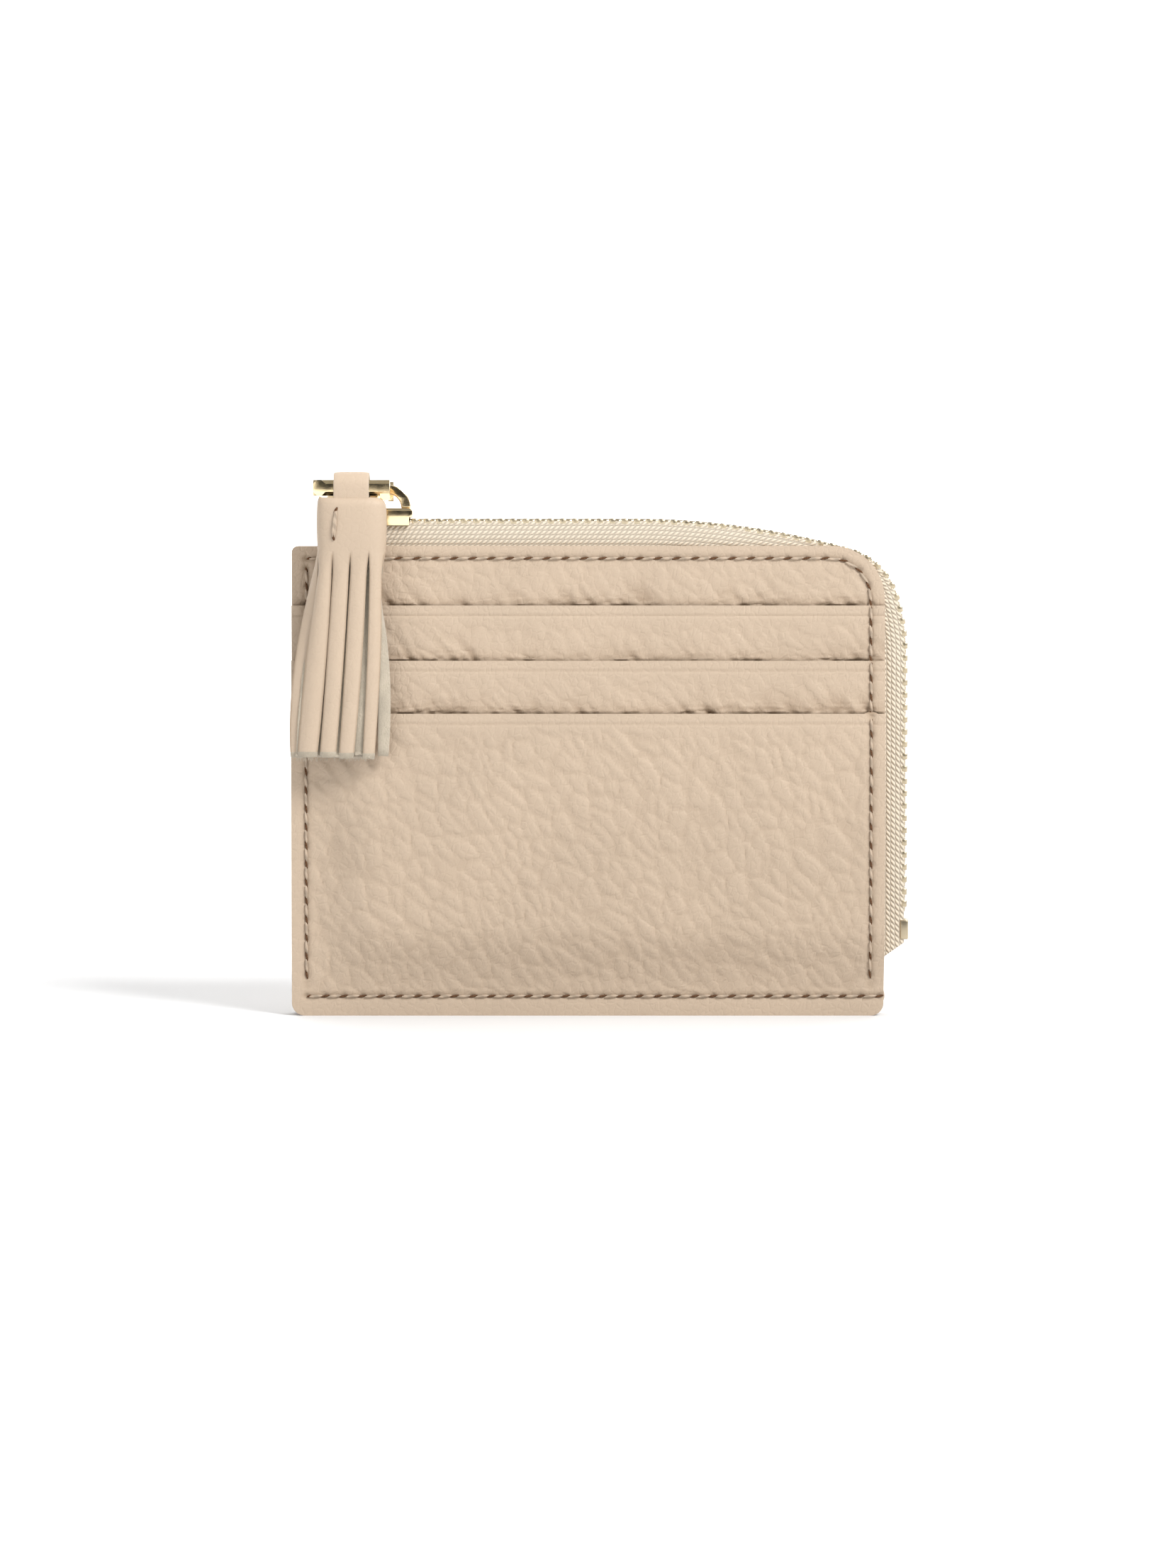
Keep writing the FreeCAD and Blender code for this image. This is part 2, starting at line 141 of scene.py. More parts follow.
def colour_setting(name, description, default):
    return FloatVectorProperty(name=name, description=description, default=default,
                               subtype="COLOR", size=3, min=0.0, max=1.0)


def length_setting(name, description, default):
    return FloatProperty(name=name, description=description, default=default * MM,
                         subtype="DISTANCE", unit="LENGTH", min=0.0, precision=5)


class PouchLeatherSettings(bpy.types.PropertyGroup):
    colour: colour_setting("Leather", "Colour of the grained leather", (0.482, 0.378, 0.281))
    # Painted shade: the dark colour mixed in deep in folds, grain valleys, seams and pressed lines
    fold_colour: colour_setting("Folds", "Colour deep in folds and seams", (0.25, 0.17, 0.105))
    suede_colour: colour_setting("Suede", "Colour of the flesh side", (0.44, 0.38, 0.295))
    lining_colour: colour_setting("Lining", "Colour of the cloth lining", (0.45, 0.36, 0.27))
    grain: length_setting("Grain relief", "Height of the grain's domed cells", 0.3)
    crown: length_setting("Fullness", "How far the walls stand out between the seams", 0.45)
    gape: length_setting("Pocket gape", "How far a pocket edge stands off the layer behind", 0.25)
    crease: length_setting("Crease", "Depth of the pressed line below a pocket edge", 0.14)


class PouchZipSettings(bpy.types.PropertyGroup):
    tape_colour: colour_setting("Tape", "Colour of the woven tape", (0.685, 0.595, 0.472))
    metal_colour: colour_setting("Gold", "Colour of the slider and ring", (0.88, 0.70, 0.42))
    teeth_colour: colour_setting("Teeth", "Colour of the teeth and stops", (0.56, 0.475, 0.335))
    tooth_pitch: length_setting("Tooth pitch", "Distance from tooth to tooth", 2.2)
    tooth_length: length_setting("Tooth length", "Length of one tooth along the tape", 1.25)
    metal_polish: FloatProperty(name="Gold roughness", description="Roughness of the slider and ring",
                                default=0.16, min=0.0, max=1.0, subtype="FACTOR")
    teeth_polish: FloatProperty(name="Teeth roughness", description="Roughness of the teeth and stops",
                                default=0.3, min=0.0, max=1.0, subtype="FACTOR")


class PouchThreadSettings(bpy.types.PropertyGroup):
    colour: colour_setting("Thread", "Colour of the sewing thread", (0.44, 0.345, 0.255))
    # Painted shade: the dark colour of the dashes that stand for shade inside the needle holes
    hole_colour: colour_setting("Needle hole", "Colour inside the needle holes", (0.07, 0.035, 0.018))
    pitch: length_setting("Stitch pitch", "Distance from stitch to stitch", 3.3)
    length: length_setting("Stitch length", "Length of the thread seen in one stitch", 2.4)
    width: length_setting("Thread width", "Width of the thread", 0.52)


class PouchTasselSettings(bpy.types.PropertyGroup):
    thickness: length_setting("Leather thickness", "Thickness of the tassel's leather", 0.9)
    slit_top: length_setting("Slit height", "Height at which the slits start", 83.0)
    slit_gap: length_setting("Slit gap", "Width of the slits between the strips", 0.34)


class PouchStageSettings(bpy.types.PropertyGroup):
    floor_colour: colour_setting("Floor", "Colour of the floor and backdrop", (0.72, 0.72, 0.72))
    lens: FloatProperty(name="Lens", description="Focal length of the camera", default=90.0,
                        min=10.0, subtype="DISTANCE_CAMERA", unit="CAMERA")
    view_height: length_setting("View height", "Height of the picture at the pouch's front", 279.7)
    elevation: FloatProperty(name="Elevation", description="Camera angle above the horizon",
                             default=math.radians(3.0), subtype="ANGLE", unit="ROTATION")


# Small tools --------------------------------------------------------------------

def smooth(t):
    t = min(1.0, max(0.0, t))
    return t * t * (3 - 2 * t)


def new_object(bm, name, materials):
    """Puts a bmesh in metres into the scene."""
    mesh = bpy.data.meshes.new(name)
    bm.to_mesh(mesh)
    bm.free()
    made = bpy.data.objects.new(name, mesh)
    bpy.context.scene.collection.objects.link(made)
    for material in materials:
        mesh.materials.append(material)
    return made


def turn_to(bm, direction):
    """Makes the faces agree, and turns the sheet's outer side to a direction."""
    bmesh.ops.recalc_face_normals(bm, faces=bm.faces)
    if sum(face.normal.dot(Vector(direction)) for face in bm.faces) < 0:
        bmesh.ops.reverse_faces(bm, faces=bm.faces)


def break_edges(bm, edges, offset, segments):
    """Bevels edges by a width in millimetres."""
    bmesh.ops.bevel(bm, geom=edges, offset=offset, offset_type="OFFSET", segments=segments, profile=0.5,
                    affect="EDGES", material=-1, clamp_overlap=False)


def store(bm, name, body, materials, stands_for=()):
    """Turns a bmesh in millimetres into a finished piece that rides on a body."""
    bmesh.ops.scale(bm, vec=(MM, MM, MM), verts=bm.verts)
    for face in bm.faces:
        face.smooth = True
    piece = new_object(bm, name, materials)
    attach(piece, body)
    if stands_for:
        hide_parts(*stands_for)
    return piece


def thicken(piece, thickness, offset=-1.0, suede_slot=0, rim_slot=0):
    solid = piece.modifiers.new("thickness", "SOLIDIFY")
    solid.thickness = thickness * MM
    solid.offset = offset
    solid.use_even_offset = False
    solid.material_offset = suede_slot
    solid.material_offset_rim = rim_slot


def round_edges(piece, width, segments=2, angle=40.0):
    bevel = piece.modifiers.new("rounded_edges", "BEVEL")
    bevel.width = width * MM
    bevel.segments = segments
    bevel.limit_method = "ANGLE"
    bevel.angle_limit = math.radians(angle)


def grid(columns, rows):
    """A grid of faces, with the whole-number place of every vertex in it."""
    bm = bmesh.new()
    bm.verts.layers.float_vector.new("at")
    # The fold layer carries painted shade: how much darker each place is painted for lying in a fold, seam,
    # grain valley or slit
    bm.verts.layers.float.new("fold")
    bm.faces.layers.int.new("strip")
    bmesh.ops.create_grid(bm, x_segments=columns, y_segments=rows, size=1.0)
    places = {v: (round((v.co.x + 1) / 2 * columns), round((v.co.y + 1) / 2 * rows)) for v in bm.verts}
    return bm, places


def grid_uv(bm, places, us, vs):
    """Lays the grid flat in its UV map at its real size, in metres."""
    layer = bm.loops.layers.uv.new("UVMap")
    for face in bm.faces:
        for loop in face.loops:
            i, j = places[loop.vert]
            loop[layer].uv = (us[i] * MM, vs[j] * MM)


def marks(low, high, zones, fine, coarse, extra=()):
    """Positions from low to high, closer together inside the zones."""
    found = [low]
    while found[-1] < high - 1e-6:
        here = found[-1]
        step = fine if any(a <= here <= b for a, b in zones) else coarse
        found.append(min(high, here + step))
    found = sorted(set(found) | {e for e in extra if low < e < high})
    kept = [found[0]]
    for value in found[1:]:
        if value - kept[-1] > 0.04:
            kept.append(value)
    kept[-1] = high
    return kept


def spindle(bm, start, end, outward, width, height, around=8, rings=6):
    """A lens-shaped length of thread from start to end."""
    along = end - start
    middle = (start + end) / 2
    axis = along.normalized()
    side = axis.cross(outward).normalized()
    up = side.cross(axis).normalized()
    turn = Matrix((side, up, axis)).transposed().to_4x4()
    size = Matrix.Diagonal((width / 2, height / 2, along.length / 2, 1.0))
    bmesh.ops.create_uvsphere(bm, u_segments=around, v_segments=rings, radius=1.0,
                              matrix=Matrix.Translation(middle) @ turn @ size)


# Lines that seams and the zip follow ---------------------------------------------

class Line:
    """Straight runs and clockwise arcs in the XZ plane, walked from the start."""

    def __init__(self, x, z, heading=0.0):
        self.pieces = []
        self.x, self.z, self.heading = x, z, heading

    def run(self, length):
        self.pieces.append((self.x, self.z, self.heading, length, None))
        self.x, self.z, self.heading = self.step(self.pieces[-1], length)
        return self

    def turn(self, radius, heading):
        length = radius * math.radians(heading - self.heading)
        self.pieces.append((self.x, self.z, self.heading, length, radius))
        self.x, self.z, self.heading = self.step(self.pieces[-1], length)
        return self

    @staticmethod
    def step(piece, s):
        x, z, heading, _, radius = piece
        a = math.radians(heading)
        if radius is None:
            return x + s * math.cos(a), z - s * math.sin(a), heading
        b = a + s / radius
        return (x + radius * (math.sin(b) - math.sin(a)),
                z - radius * (math.cos(a) - math.cos(b)), math.degrees(b))

    def length(self):
        return sum(piece[3] for piece in self.pieces)

    def at(self, s, inset=0.0):
        """Place and heading after the distance s, moved inwards by inset."""
        piece = self.pieces[-1]
        for piece in self.pieces:
            if s <= piece[3]:
                break
            s -= piece[3]
        else:
            s += piece[3]
        x, z, heading = self.step(piece, s)
        a = math.radians(heading)
        return x - inset * math.sin(a), z - inset * math.cos(a), heading


def zip_line(foot):
    line = Line(TAPE_LOW.x, TAPE_HIGH.z)
    line.run(STRAIGHT_END - TAPE_LOW.x)
    line.turn(SAG_RADIUS, SAG_TURN)
    line.turn(CORNER_RADIUS, CORNER_TURN)
    line.turn((TAPE_HIGH.x - line.x) / (1 - math.sin(math.radians(CORNER_TURN))), 90.0)
    line.run(line.z - foot)
    return line


def zip_seam_line(pitch):
    radius = CORNER_TOP_RIGHT - (SEAM_TOP + SEAM_RIGHT) / 2
    line = Line(LEFT + SEAM_LEFT, TOP - SEAM_TOP)
    line.run(RIGHT - SEAM_RIGHT - radius - line.x)
    line.turn(radius, 90.0)
    line.run(line.z - SEAM_BOTTOM - pitch / 2)
    return line


def left_seam_line(pitch):
    line = Line(LEFT + SEAM_LEFT, TOP - SEAM_TOP - pitch / 2, 90.0)
    line.run(line.z - SEAM_BOTTOM - pitch / 2)
    return line


def bottom_seam_line():
    return Line(LEFT + SEAM_LEFT, SEAM_BOTTOM).run(RIGHT - LEFT - SEAM_LEFT)


def seam_lines():
    pitch = bpy.context.scene.pouch_thread.pitch / MM
    return {"zip_seam": zip_seam_line(pitch), "side_seam": left_seam_line(pitch),
            "bottom_seam": bottom_seam_line()}


def tree_of(points):
    tree = kdtree.KDTree(len(points))
    for index, (x, z) in enumerate(points):
        tree.insert(Vector((x, 0.0, z)), index)
    tree.balance()
    return tree


class SeamMarks:
    """How far the sewing pulls the leather in, near the stitch lines and at the needle holes."""

    def __init__(self):
        pitch = bpy.context.scene.pouch_thread.pitch / MM
        lines = seam_lines().values()
        track, holes = [], []
        for line in lines:
            count = int(line.length() / pitch)
            track += [line.at(s * 0.3)[:2] for s in range(int(line.length() / 0.3) + 1)]
            holes += [line.at(i * pitch)[:2] for i in range(count + 1)]
        self.track, self.holes = tree_of(track), tree_of(holes)

    def pull(self, x, z):
        spot = Vector((x, 0.0, z))
        near = self.track.find(spot)[2]
        if near > SEAM_PULL_REACH:
            return 0.0
        hole = self.holes.find(spot)[2]
        return (SEAM_PULL * math.exp(-(near / SEAM_PULL_WIDTH) ** 2)
                + HOLE_PULL * math.exp(-(hole / HOLE_PULL_WIDTH) ** 2))


# Shape of the leather walls -------------------------------------------------------

def closing(x, z):
    """1 over the open compartment, falling to 0 at the sewn left and bottom edges."""
    return smooth((x - CLOSE_FROM_X) / CLOSE_RUN) * smooth((z - CLOSE_FROM_Z) / CLOSE_RUN)


def fullness(x, z):
    """Gentle swelling of the walls between the seams, with a little unevenness."""
    u, w = (x - LEFT) / (RIGHT - LEFT), z / TOP
    if not (0 < u < 1 and 0 < w < 1):
        return 0.0
    rise = (math.sin(math.pi * u) * math.sin(math.pi * w)) ** 0.7
    crown = bpy.context.scene.pouch_leather.crown / MM
    return crown * rise * (1 + 0.2 * noise.noise(Vector((x / 16, 0.0, z / 16))))


def gape(level, x, z):
    """How far the pocket edges up to this layer lift what lies over them."""
    total = 0.0
    amount = bpy.context.scene.pouch_leather.gape / MM
    side = max(0.0, math.sin(math.pi * (x - LEFT) / (RIGHT - LEFT))) ** 0.35
    for number in range(1, level + 1):
        below = max(0.0, LAYER_TOPS[number] - z)
        wave = 0.55 + 0.45 * noise.noise(Vector((x / 13, number * 7.0, 0.0)))
        total += amount * wave * side * math.exp(-below / 4.0)
    return total


def front_depth(level, x, z):
    """Distance of a front layer's outer face in front of the seam plane, before sewing pulls it in."""
    depth = LAYER_DEPTHS[level] - PINCH_DROP * (1 - closing(x, z))
    return depth + fullness(x, z) + gape(level, x, z)


def layer_at(z):
    """Number of the front layer seen at a height."""
    return max(level for level, top in enumerate(LAYER_TOPS) if z <= top or level == 0)


def back_depth(x, z):
    return BACK_DEPTH - PINCH_DROP * (1 - closing(x, z)) + 0.8 * fullness(x, z)


def wrinkles(level, x, z):
    """Slanting folds in the strip of leather just above the next pocket's edge."""
    if level + 1 >= len(LAYER_TOPS):
        return 0.0
    above = z - LAYER_TOPS[level + 1]
    if not -1.0 < above < 7.0:
        return 0.0
    above = max(0.0, above)
    patch = smooth(0.75 + 1.3 * noise.noise(Vector((x / 8, level * 3.0, 1.5))))
    slant = Vector(((x + 0.75 * above) / 1.9, above / 6.0, level * 5.0))
    fold = max(0.0, noise.noise(slant) + 0.05) ** 0.9 * math.exp(-above / 2.0)
    roll = abs(noise.noise(Vector((x / 5.5, above / 0.9, 40.0 + level))))
    roll = max(0.0, 0.22 - roll) * math.exp(-above / 1.1)
    tuck = (0.5 + 1.1 * noise.noise(Vector((x / 2.3, level * 9.0, 3.0)))) * math.exp(-above / 0.4)
    return (0.85 * fold + 1.5 * roll) * patch + 0.36 * max(0.0, tuck) * (0.3 + 0.7 * patch)


def pebbles(x, z, seed):
    """Grain cells, longer down to the right and lapped like scales: 0 in the valleys and 1 at the rims."""
    along, across = 0.56 * x - 0.83 * z, 0.83 * x + 0.56 * z
    bend = noise.noise(Vector((x / 13, seed, z / 13)))
    spot = Vector((across / PEBBLE_WIDTH + bend, 0.37 * seed, along / PEBBLE_LENGTH + 0.3 * bend))
    (near, next_near), points = noise.voronoi(spot)[0][:2], noise.voronoi(spot)[1]
    lap = min(0.5, max(-0.5, spot.x - points[0].x))
    return 0.62 * smooth((next_near - near) / 0.26) + 0.15 + 0.45 * lap


def darkness(valley, pulled, folded=0.0, pressed=0.0):
    """Painted shade: how much darker a place is painted for how deep it lies in the grain, a seam, a fold or
    the pressed line.
    """
    return min(1.0, 0.16 * valley + 1.25 * folded + 1.2 * pressed + 1.3 * pulled)


def grain(level, top, x, z):
    """Strength of the grain: full on the lower pocket and the back, weaker on the bands and by the seams."""
    strength = 1.0
    if level is not None and level + 1 < len(LAYER_TOPS):
        if z < LAYER_TOPS[level + 1] - 1.0:
            return 0.0
        strength = 0.62
    sides = smooth((x - LEFT - 2.0) / 3.5) * smooth((RIGHT - 2.0 - x) / 3.5)
    return strength * sides * smooth((z - 2.6) / 3.0) * smooth((top - 1.6 - z) / 3.0)


def crease(level, x, z):
    """The pressed line that runs below a pocket's edge."""
    if level == 0:
        return 0.0
    depth = bpy.context.scene.pouch_leather.crease / MM
    place = LAYER_TOPS[level] - 1.75 + 0.06 * noise.noise(Vector((x / 9, level, 0.0)))
    return depth * math.exp(-((z - place) / 0.2) ** 2)


def row_ends(z, top, corners):
    """Left and right end of the leather outline at a height."""
    left, right = LEFT, RIGHT
    if z < CORNER_BOTTOM:
        cut = CORNER_BOTTOM - math.sqrt(max(0.0, CORNER_BOTTOM ** 2 - (CORNER_BOTTOM - z) ** 2))
        left, right = LEFT + cut, RIGHT - cut
    if corners and z > top - CORNER_TOP_RIGHT:
        rise = z - (top - CORNER_TOP_RIGHT)
        right = RIGHT - CORNER_TOP_RIGHT + math.sqrt(max(0.0, CORNER_TOP_RIGHT ** 2 - rise ** 2))
    if corners and z > top - CORNER_TOP_LEFT:
        rise = z - (top - CORNER_TOP_LEFT)
        left = LEFT + CORNER_TOP_LEFT - math.sqrt(max(0.0, CORNER_TOP_LEFT ** 2 - rise ** 2))
    return left, right


def corner_rows(centre, radius, upwards):
    sign = 1 if upwards else -1
    return [centre + sign * radius * math.cos(math.radians(a)) for a in range(4, 90, 7)]


def leather_wall(top, corners, face, level):
    """Outer face of one leather sheet as a grid; face gives a place's Y and how much painted shade it gets
    for lying deep in a fold, a seam or the grain.
    """
    across, inner = BACK_SPACING if level is None else (FRONT_SPACING, FRONT_SPACING)
    xs = marks(LEFT, RIGHT, [(LEFT - 1, LEFT + 5), (RIGHT - 5, RIGHT + 1)], RIM_SPACING, across)
    zones = [(-1, 5), (top - 4.0, top + 1)]
    if level is not None and level + 1 < len(LAYER_TOPS):
        zones = [(LAYER_TOPS[level + 1] - 1.0, top + 1)]
        inner = HIDDEN_SPACING
    rows = corner_rows(CORNER_BOTTOM, CORNER_BOTTOM, False)
    if corners:
        rows += corner_rows(top - CORNER_TOP_RIGHT, CORNER_TOP_RIGHT, True)
        rows += corner_rows(top - CORNER_TOP_LEFT, CORNER_TOP_LEFT, True)
    zs = marks(0.0, top, zones, RIM_SPACING if corners else EDGE_SPACING, inner, rows)
    bm, places = grid(len(xs) - 1, len(zs) - 1)
    fold = bm.verts.layers.float["fold"]
    for vert, (i, j) in places.items():
        z = zs[j]
        left, right = row_ends(z, top, corners)
        x = left + (right - left) * (xs[i] - LEFT) / (RIGHT - LEFT)
        # face's second value is the painted shade kept in the fold layer
        y, vert[fold] = face(x, z)
        vert.co = (x, y, z)
    return bm


# Materials ------------------------------------------------------------------------

class Nodes:
    """Short hand for building one material's node tree."""

    def __init__(self, name):
        self.material = bpy.data.materials.new(name)
        self.material.use_nodes = True
        self.tree = self.material.node_tree
        self.shader = self.tree.nodes["Principled BSDF"]

    def add(self, kind, **settings):
        node = self.tree.nodes.new("ShaderNode" + kind)
        for key, value in settings.items():
            setattr(node, key, value)
        return node

    def link(self, output, target):
        self.tree.links.new(output, target)

    def place(self, scale, turn=(0.0, 0.0, 0.0), source="Object"):
        """Coordinates in millimetres, turned and then scaled."""
        coordinates = self.add("TexCoord")
        turned = self.add("Mapping", vector_type="POINT")
        turned.inputs["Rotation"].default_value = turn
        turned.inputs["Scale"].default_value = (1 / MM, 1 / MM, 1 / MM)
        self.link(coordinates.outputs[source], turned.inputs["Vector"])
        scaled = self.add("Mapping", vector_type="POINT")
        scaled.inputs["Scale"].default_value = scale
        self.link(turned.outputs["Vector"], scaled.inputs["Vector"])
        return scaled.outputs["Vector"]

    def noise(self, vector, scale=1.0, detail=2.0, roughness=0.5):
        node = self.add("TexNoise")
        node.inputs["Scale"].default_value = scale
        node.inputs["Detail"].default_value = detail
        node.inputs["Roughness"].default_value = roughness
        self.link(vector, node.inputs["Vector"])
        return node.outputs["Fac"]

    def maths(self, operation, first, second=None, clamp=False):
        node = self.add("Math", operation=operation, use_clamp=clamp)
        for socket, value in zip(node.inputs, (first, second)):
            if value is None:
                continue
            if isinstance(value, (int, float)):
                socket.default_value = value
            else:
                self.link(value, socket)
        return node.outputs[0]

    def remap(self, value, low, high, to_low=0.0, to_high=1.0, kind="SMOOTHSTEP"):
        node = self.add("MapRange", interpolation_type=kind)
        self.link(value, node.inputs["Value"])
        for key, number in (("From Min", low), ("From Max", high), ("To Min", to_low), ("To Max", to_high)):
            node.inputs[key].default_value = number
        return node.outputs["Result"]

    def mix(self, factor, first, second):
        node = self.add("Mix", data_type="RGBA")
        self.link(factor, node.inputs["Factor"])
        for key, value in (("A", first), ("B", second)):
            socket = [s for s in node.inputs if s.name == key and s.type == "RGBA"][0]
            if isinstance(value, tuple):
                socket.default_value = (*value, 1.0)
            else:
                self.link(value, socket)
        return [s for s in node.outputs if s.type == "RGBA"][0]

    def colour(self, factor, first, second):
        """Mixes two colours over the surface."""
        self.link(self.mix(factor, first, second), self.shader.inputs["Base Color"])

    def rough(self, value, low, high, smoothest, roughest):
        """Spreads the roughness over the surface."""
        self.link(self.remap(value, low, high, smoothest, roughest), self.shader.inputs["Roughness"])

    def bump(self, height):
        """Relief whose height is in millimetres."""
        node = self.add("Bump")
        node.inputs["Strength"].default_value = 1.0
        node.inputs["Distance"].default_value = MM
        self.link(height, node.inputs["Height"])
        self.link(node.outputs["Normal"], self.shader.inputs["Normal"])

    def set(self, **values):
        for key, value in values.items():
            self.shader.inputs[key.replace("_", " ")].default_value = value


def shade(colour, factor):
    return tuple(min(1.0, c * factor) for c in colour)


def cached(builder):
    """A material is built once and used again."""
    def wrapper(*args):
        name = builder.__name__ + "".join("_" + str(a) for a in args)
        return bpy.data.materials.get(name) or builder(name, *args)
    return wrapper


@cached
def grained_leather(name, pore):
    """Plump leather with fine pores, painted shade where it lies deep in a fold, and a soft satin finish."""
    settings = bpy.context.scene.pouch_leather
    n = Nodes(name)
    tilt = (0.0, math.radians(-32.0), 0.0)
    small = n.add("TexVoronoi", feature="DISTANCE_TO_EDGE")
    small.inputs["Scale"].default_value = 1.0
    n.link(n.place((0.95, 0.3, 0.6), tilt), small.inputs["Vector"])
    lines = n.remap(small.outputs["Distance"], 0.0, 0.2)
    pores = n.noise(n.place((3.0, 3.0, 3.0)), detail=4.0, roughness=0.65)
    height = n.maths("MULTIPLY", lines, 0.035 * pore)
    height = n.maths("ADD", height, n.maths("MULTIPLY", pores, 0.05 * pore))
    n.bump(height)
    broad = n.remap(n.noise(n.place((0.05, 0.05, 0.05)), detail=3.0), 0.3, 0.7)
    base = n.mix(broad, shade(settings.colour, 0.97), shade(settings.colour, 1.03))
    base = n.mix(n.remap(pores, 0.25, 0.5, 0.5, 0.0), base, shade(settings.colour, 0.93))
    # Painted shade: the fold layer darkens the colour towards the fold shade colour
    fold = n.add("Attribute", attribute_name="fold")
    n.colour(fold.outputs["Fac"], base, tuple(settings.fold_colour))
    n.rough(pores, 0.3, 0.7, 0.5, 0.62)
    n.set(Specular_IOR_Level=0.35)
    return n.material


@cached
def suede(name):
    """The rough flesh side and the raw cut edges."""
    settings = bpy.context.scene.pouch_leather
    n = Nodes(name)
    nap = n.noise(n.place((4.0, 4.0, 2.2)), detail=6.0, roughness=0.7)
    broad = n.noise(n.place((0.3, 0.3, 0.2)), detail=2.0)
    tone = n.mix(n.remap(broad, 0.3, 0.7), shade(settings.suede_colour, 0.9),
                 shade(settings.suede_colour, 1.12))
    n.colour(n.remap(nap, 0.3, 0.6, 0.5, 0.0), tone, shade(settings.suede_colour, 0.75))
    n.bump(n.maths("MULTIPLY", nap, 0.16))
    n.set(Roughness=0.95, Specular_IOR_Level=0.15, Sheen_Weight=0.3, Sheen_Roughness=0.6)
    return n.material


@cached
def lining_cloth(name):
    """Fine plain-woven lining."""
    settings = bpy.context.scene.pouch_leather
    n = Nodes(name)
    place = n.place((1.0, 1.0, 1.0))
    split = n.add("SeparateXYZ")
    n.link(place, split.inputs[0])
    weave_pitch = 0.42
    over = n.maths("SINE", n.maths("MULTIPLY", split.outputs["X"], 2 * math.pi / weave_pitch))
    under = n.maths("SINE", n.maths("MULTIPLY", split.outputs["Z"], 2 * math.pi / weave_pitch))
    weave = n.maths("MULTIPLY", over, under)
    n.bump(n.maths("MULTIPLY", weave, 0.04))
    # Painted shade: the colour darkens where the weave lies low
    n.colour(n.remap(weave, -1.0, 1.0), shade(settings.lining_colour, 0.86), tuple(settings.lining_colour))
    n.set(Roughness=0.85, Specular_IOR_Level=0.2, Sheen_Weight=0.15)
    return n.material


@cached
def tape_weave(name):
    """Cream zip tape: rows of slanting rounded loops along the tape, set in its UV map."""
    settings = bpy.context.scene.pouch_zip
    n = Nodes(name)
    split = n.add("SeparateXYZ")
    n.link(n.place((1.0, 1.0, 1.0), source="UV"), split.inputs[0])
    along, across = split.outputs["X"], split.outputs["Y"]
    row_width, bead_pitch = 0.82, 0.95
    rows = n.maths("DIVIDE", across, row_width)
    row = n.maths("FLOOR", rows)
    inside = n.maths("FRACT", rows)
    shift = n.maths("MULTIPLY", row, 0.5)
    lean = n.maths("MULTIPLY", inside, 0.75)
    beads = n.maths("ADD", n.maths("DIVIDE", along, bead_pitch), n.maths("ADD", shift, lean))
    bead = n.maths("SINE", n.maths("MULTIPLY", beads, 2 * math.pi))
    bead = n.maths("ADD", n.maths("MULTIPLY", bead, 0.5), 0.5)
    ridge = n.maths("SINE", n.maths("MULTIPLY", inside, math.pi))
    loops = n.maths("MULTIPLY", n.maths("POWER", bead, 0.7), n.maths("POWER", ridge, 0.6))
    fuzz = n.noise(n.place((5.0, 5.0, 5.0)), detail=3.0)
    height = n.maths("ADD", n.maths("MULTIPLY", loops, 0.24), n.maths("MULTIPLY", fuzz, 0.05))
    n.bump(height)
    # Painted shade: the colour darkens in the gaps between the loops and is a little lighter on their tops
    n.colour(n.remap(loops, 0.0, 0.7), shade(settings.tape_colour, 0.72), shade(settings.tape_colour, 1.05))
    n.set(Roughness=0.8, Specular_IOR_Level=0.25, Sheen_Weight=0.2, Sheen_Roughness=0.5)
    return n.material


@cached
def sewing_thread(name):
    """Waxed two-ply thread."""
    settings = bpy.context.scene.pouch_thread
    n = Nodes(name)
    ply = n.add("TexWave", wave_type="BANDS", bands_direction="DIAGONAL")
    ply.inputs["Scale"].default_value = 0.3
    ply.inputs["Distortion"].default_value = 1.2
    n.link(n.place((1.0, 1.0, 1.0)), ply.inputs["Vector"])
    fuzz = n.noise(n.place((6.0, 6.0, 6.0)), detail=3.0)
    n.bump(n.maths("ADD", n.maths("MULTIPLY", ply.outputs["Fac"], 0.08),
                   n.maths("MULTIPLY", fuzz, 0.03)))
    # Painted shade: the colour darkens in the grooves between the plies, where the bump is low
    n.colour(n.remap(ply.outputs["Fac"], 0.1, 0.8),
             shade(settings.colour, 0.78), shade(settings.colour, 1.05))
    n.set(Roughness=0.55, Specular_IOR_Level=0.4)
    return n.material


@cached
def needle_hole(name):
    """Painted shade: a dark dash that stands for the shade inside a needle hole."""
    settings = bpy.context.scene.pouch_thread
    n = Nodes(name)
    grit = n.noise(n.place((5.0, 5.0, 5.0)), detail=2.0)
    n.colour(n.remap(grit, 0.3, 0.7),
             tuple(settings.hole_colour), shade(settings.hole_colour, 2.2))
    n.set(Roughness=0.9, Specular_IOR_Level=0.1)
    return n.material


@cached
def plated_metal(name, part, wear):
    """Pale plating with faint handling marks; part says which of the zip's colours it takes."""
    settings = bpy.context.scene.pouch_zip
    colour, polish = getattr(settings, part + "_colour"), getattr(settings, part + "_polish")
    n = Nodes(name)
    haze = n.noise(n.place((0.8, 0.8, 0.8)), detail=4.0)
    scratch = n.noise(n.place((1.5, 9.0, 9.0), (0.3, 0.2, 0.5)), detail=2.0)
    n.colour(n.remap(haze, 0.35, 0.65), shade(colour, 0.96), shade(colour, 1.03))
    n.rough(haze, 0.3, 0.7, polish, polish + wear)
    n.bump(n.maths("MULTIPLY", scratch, 0.004 + 0.01 * wear))
    n.set(Metallic=1.0)
    return n.material


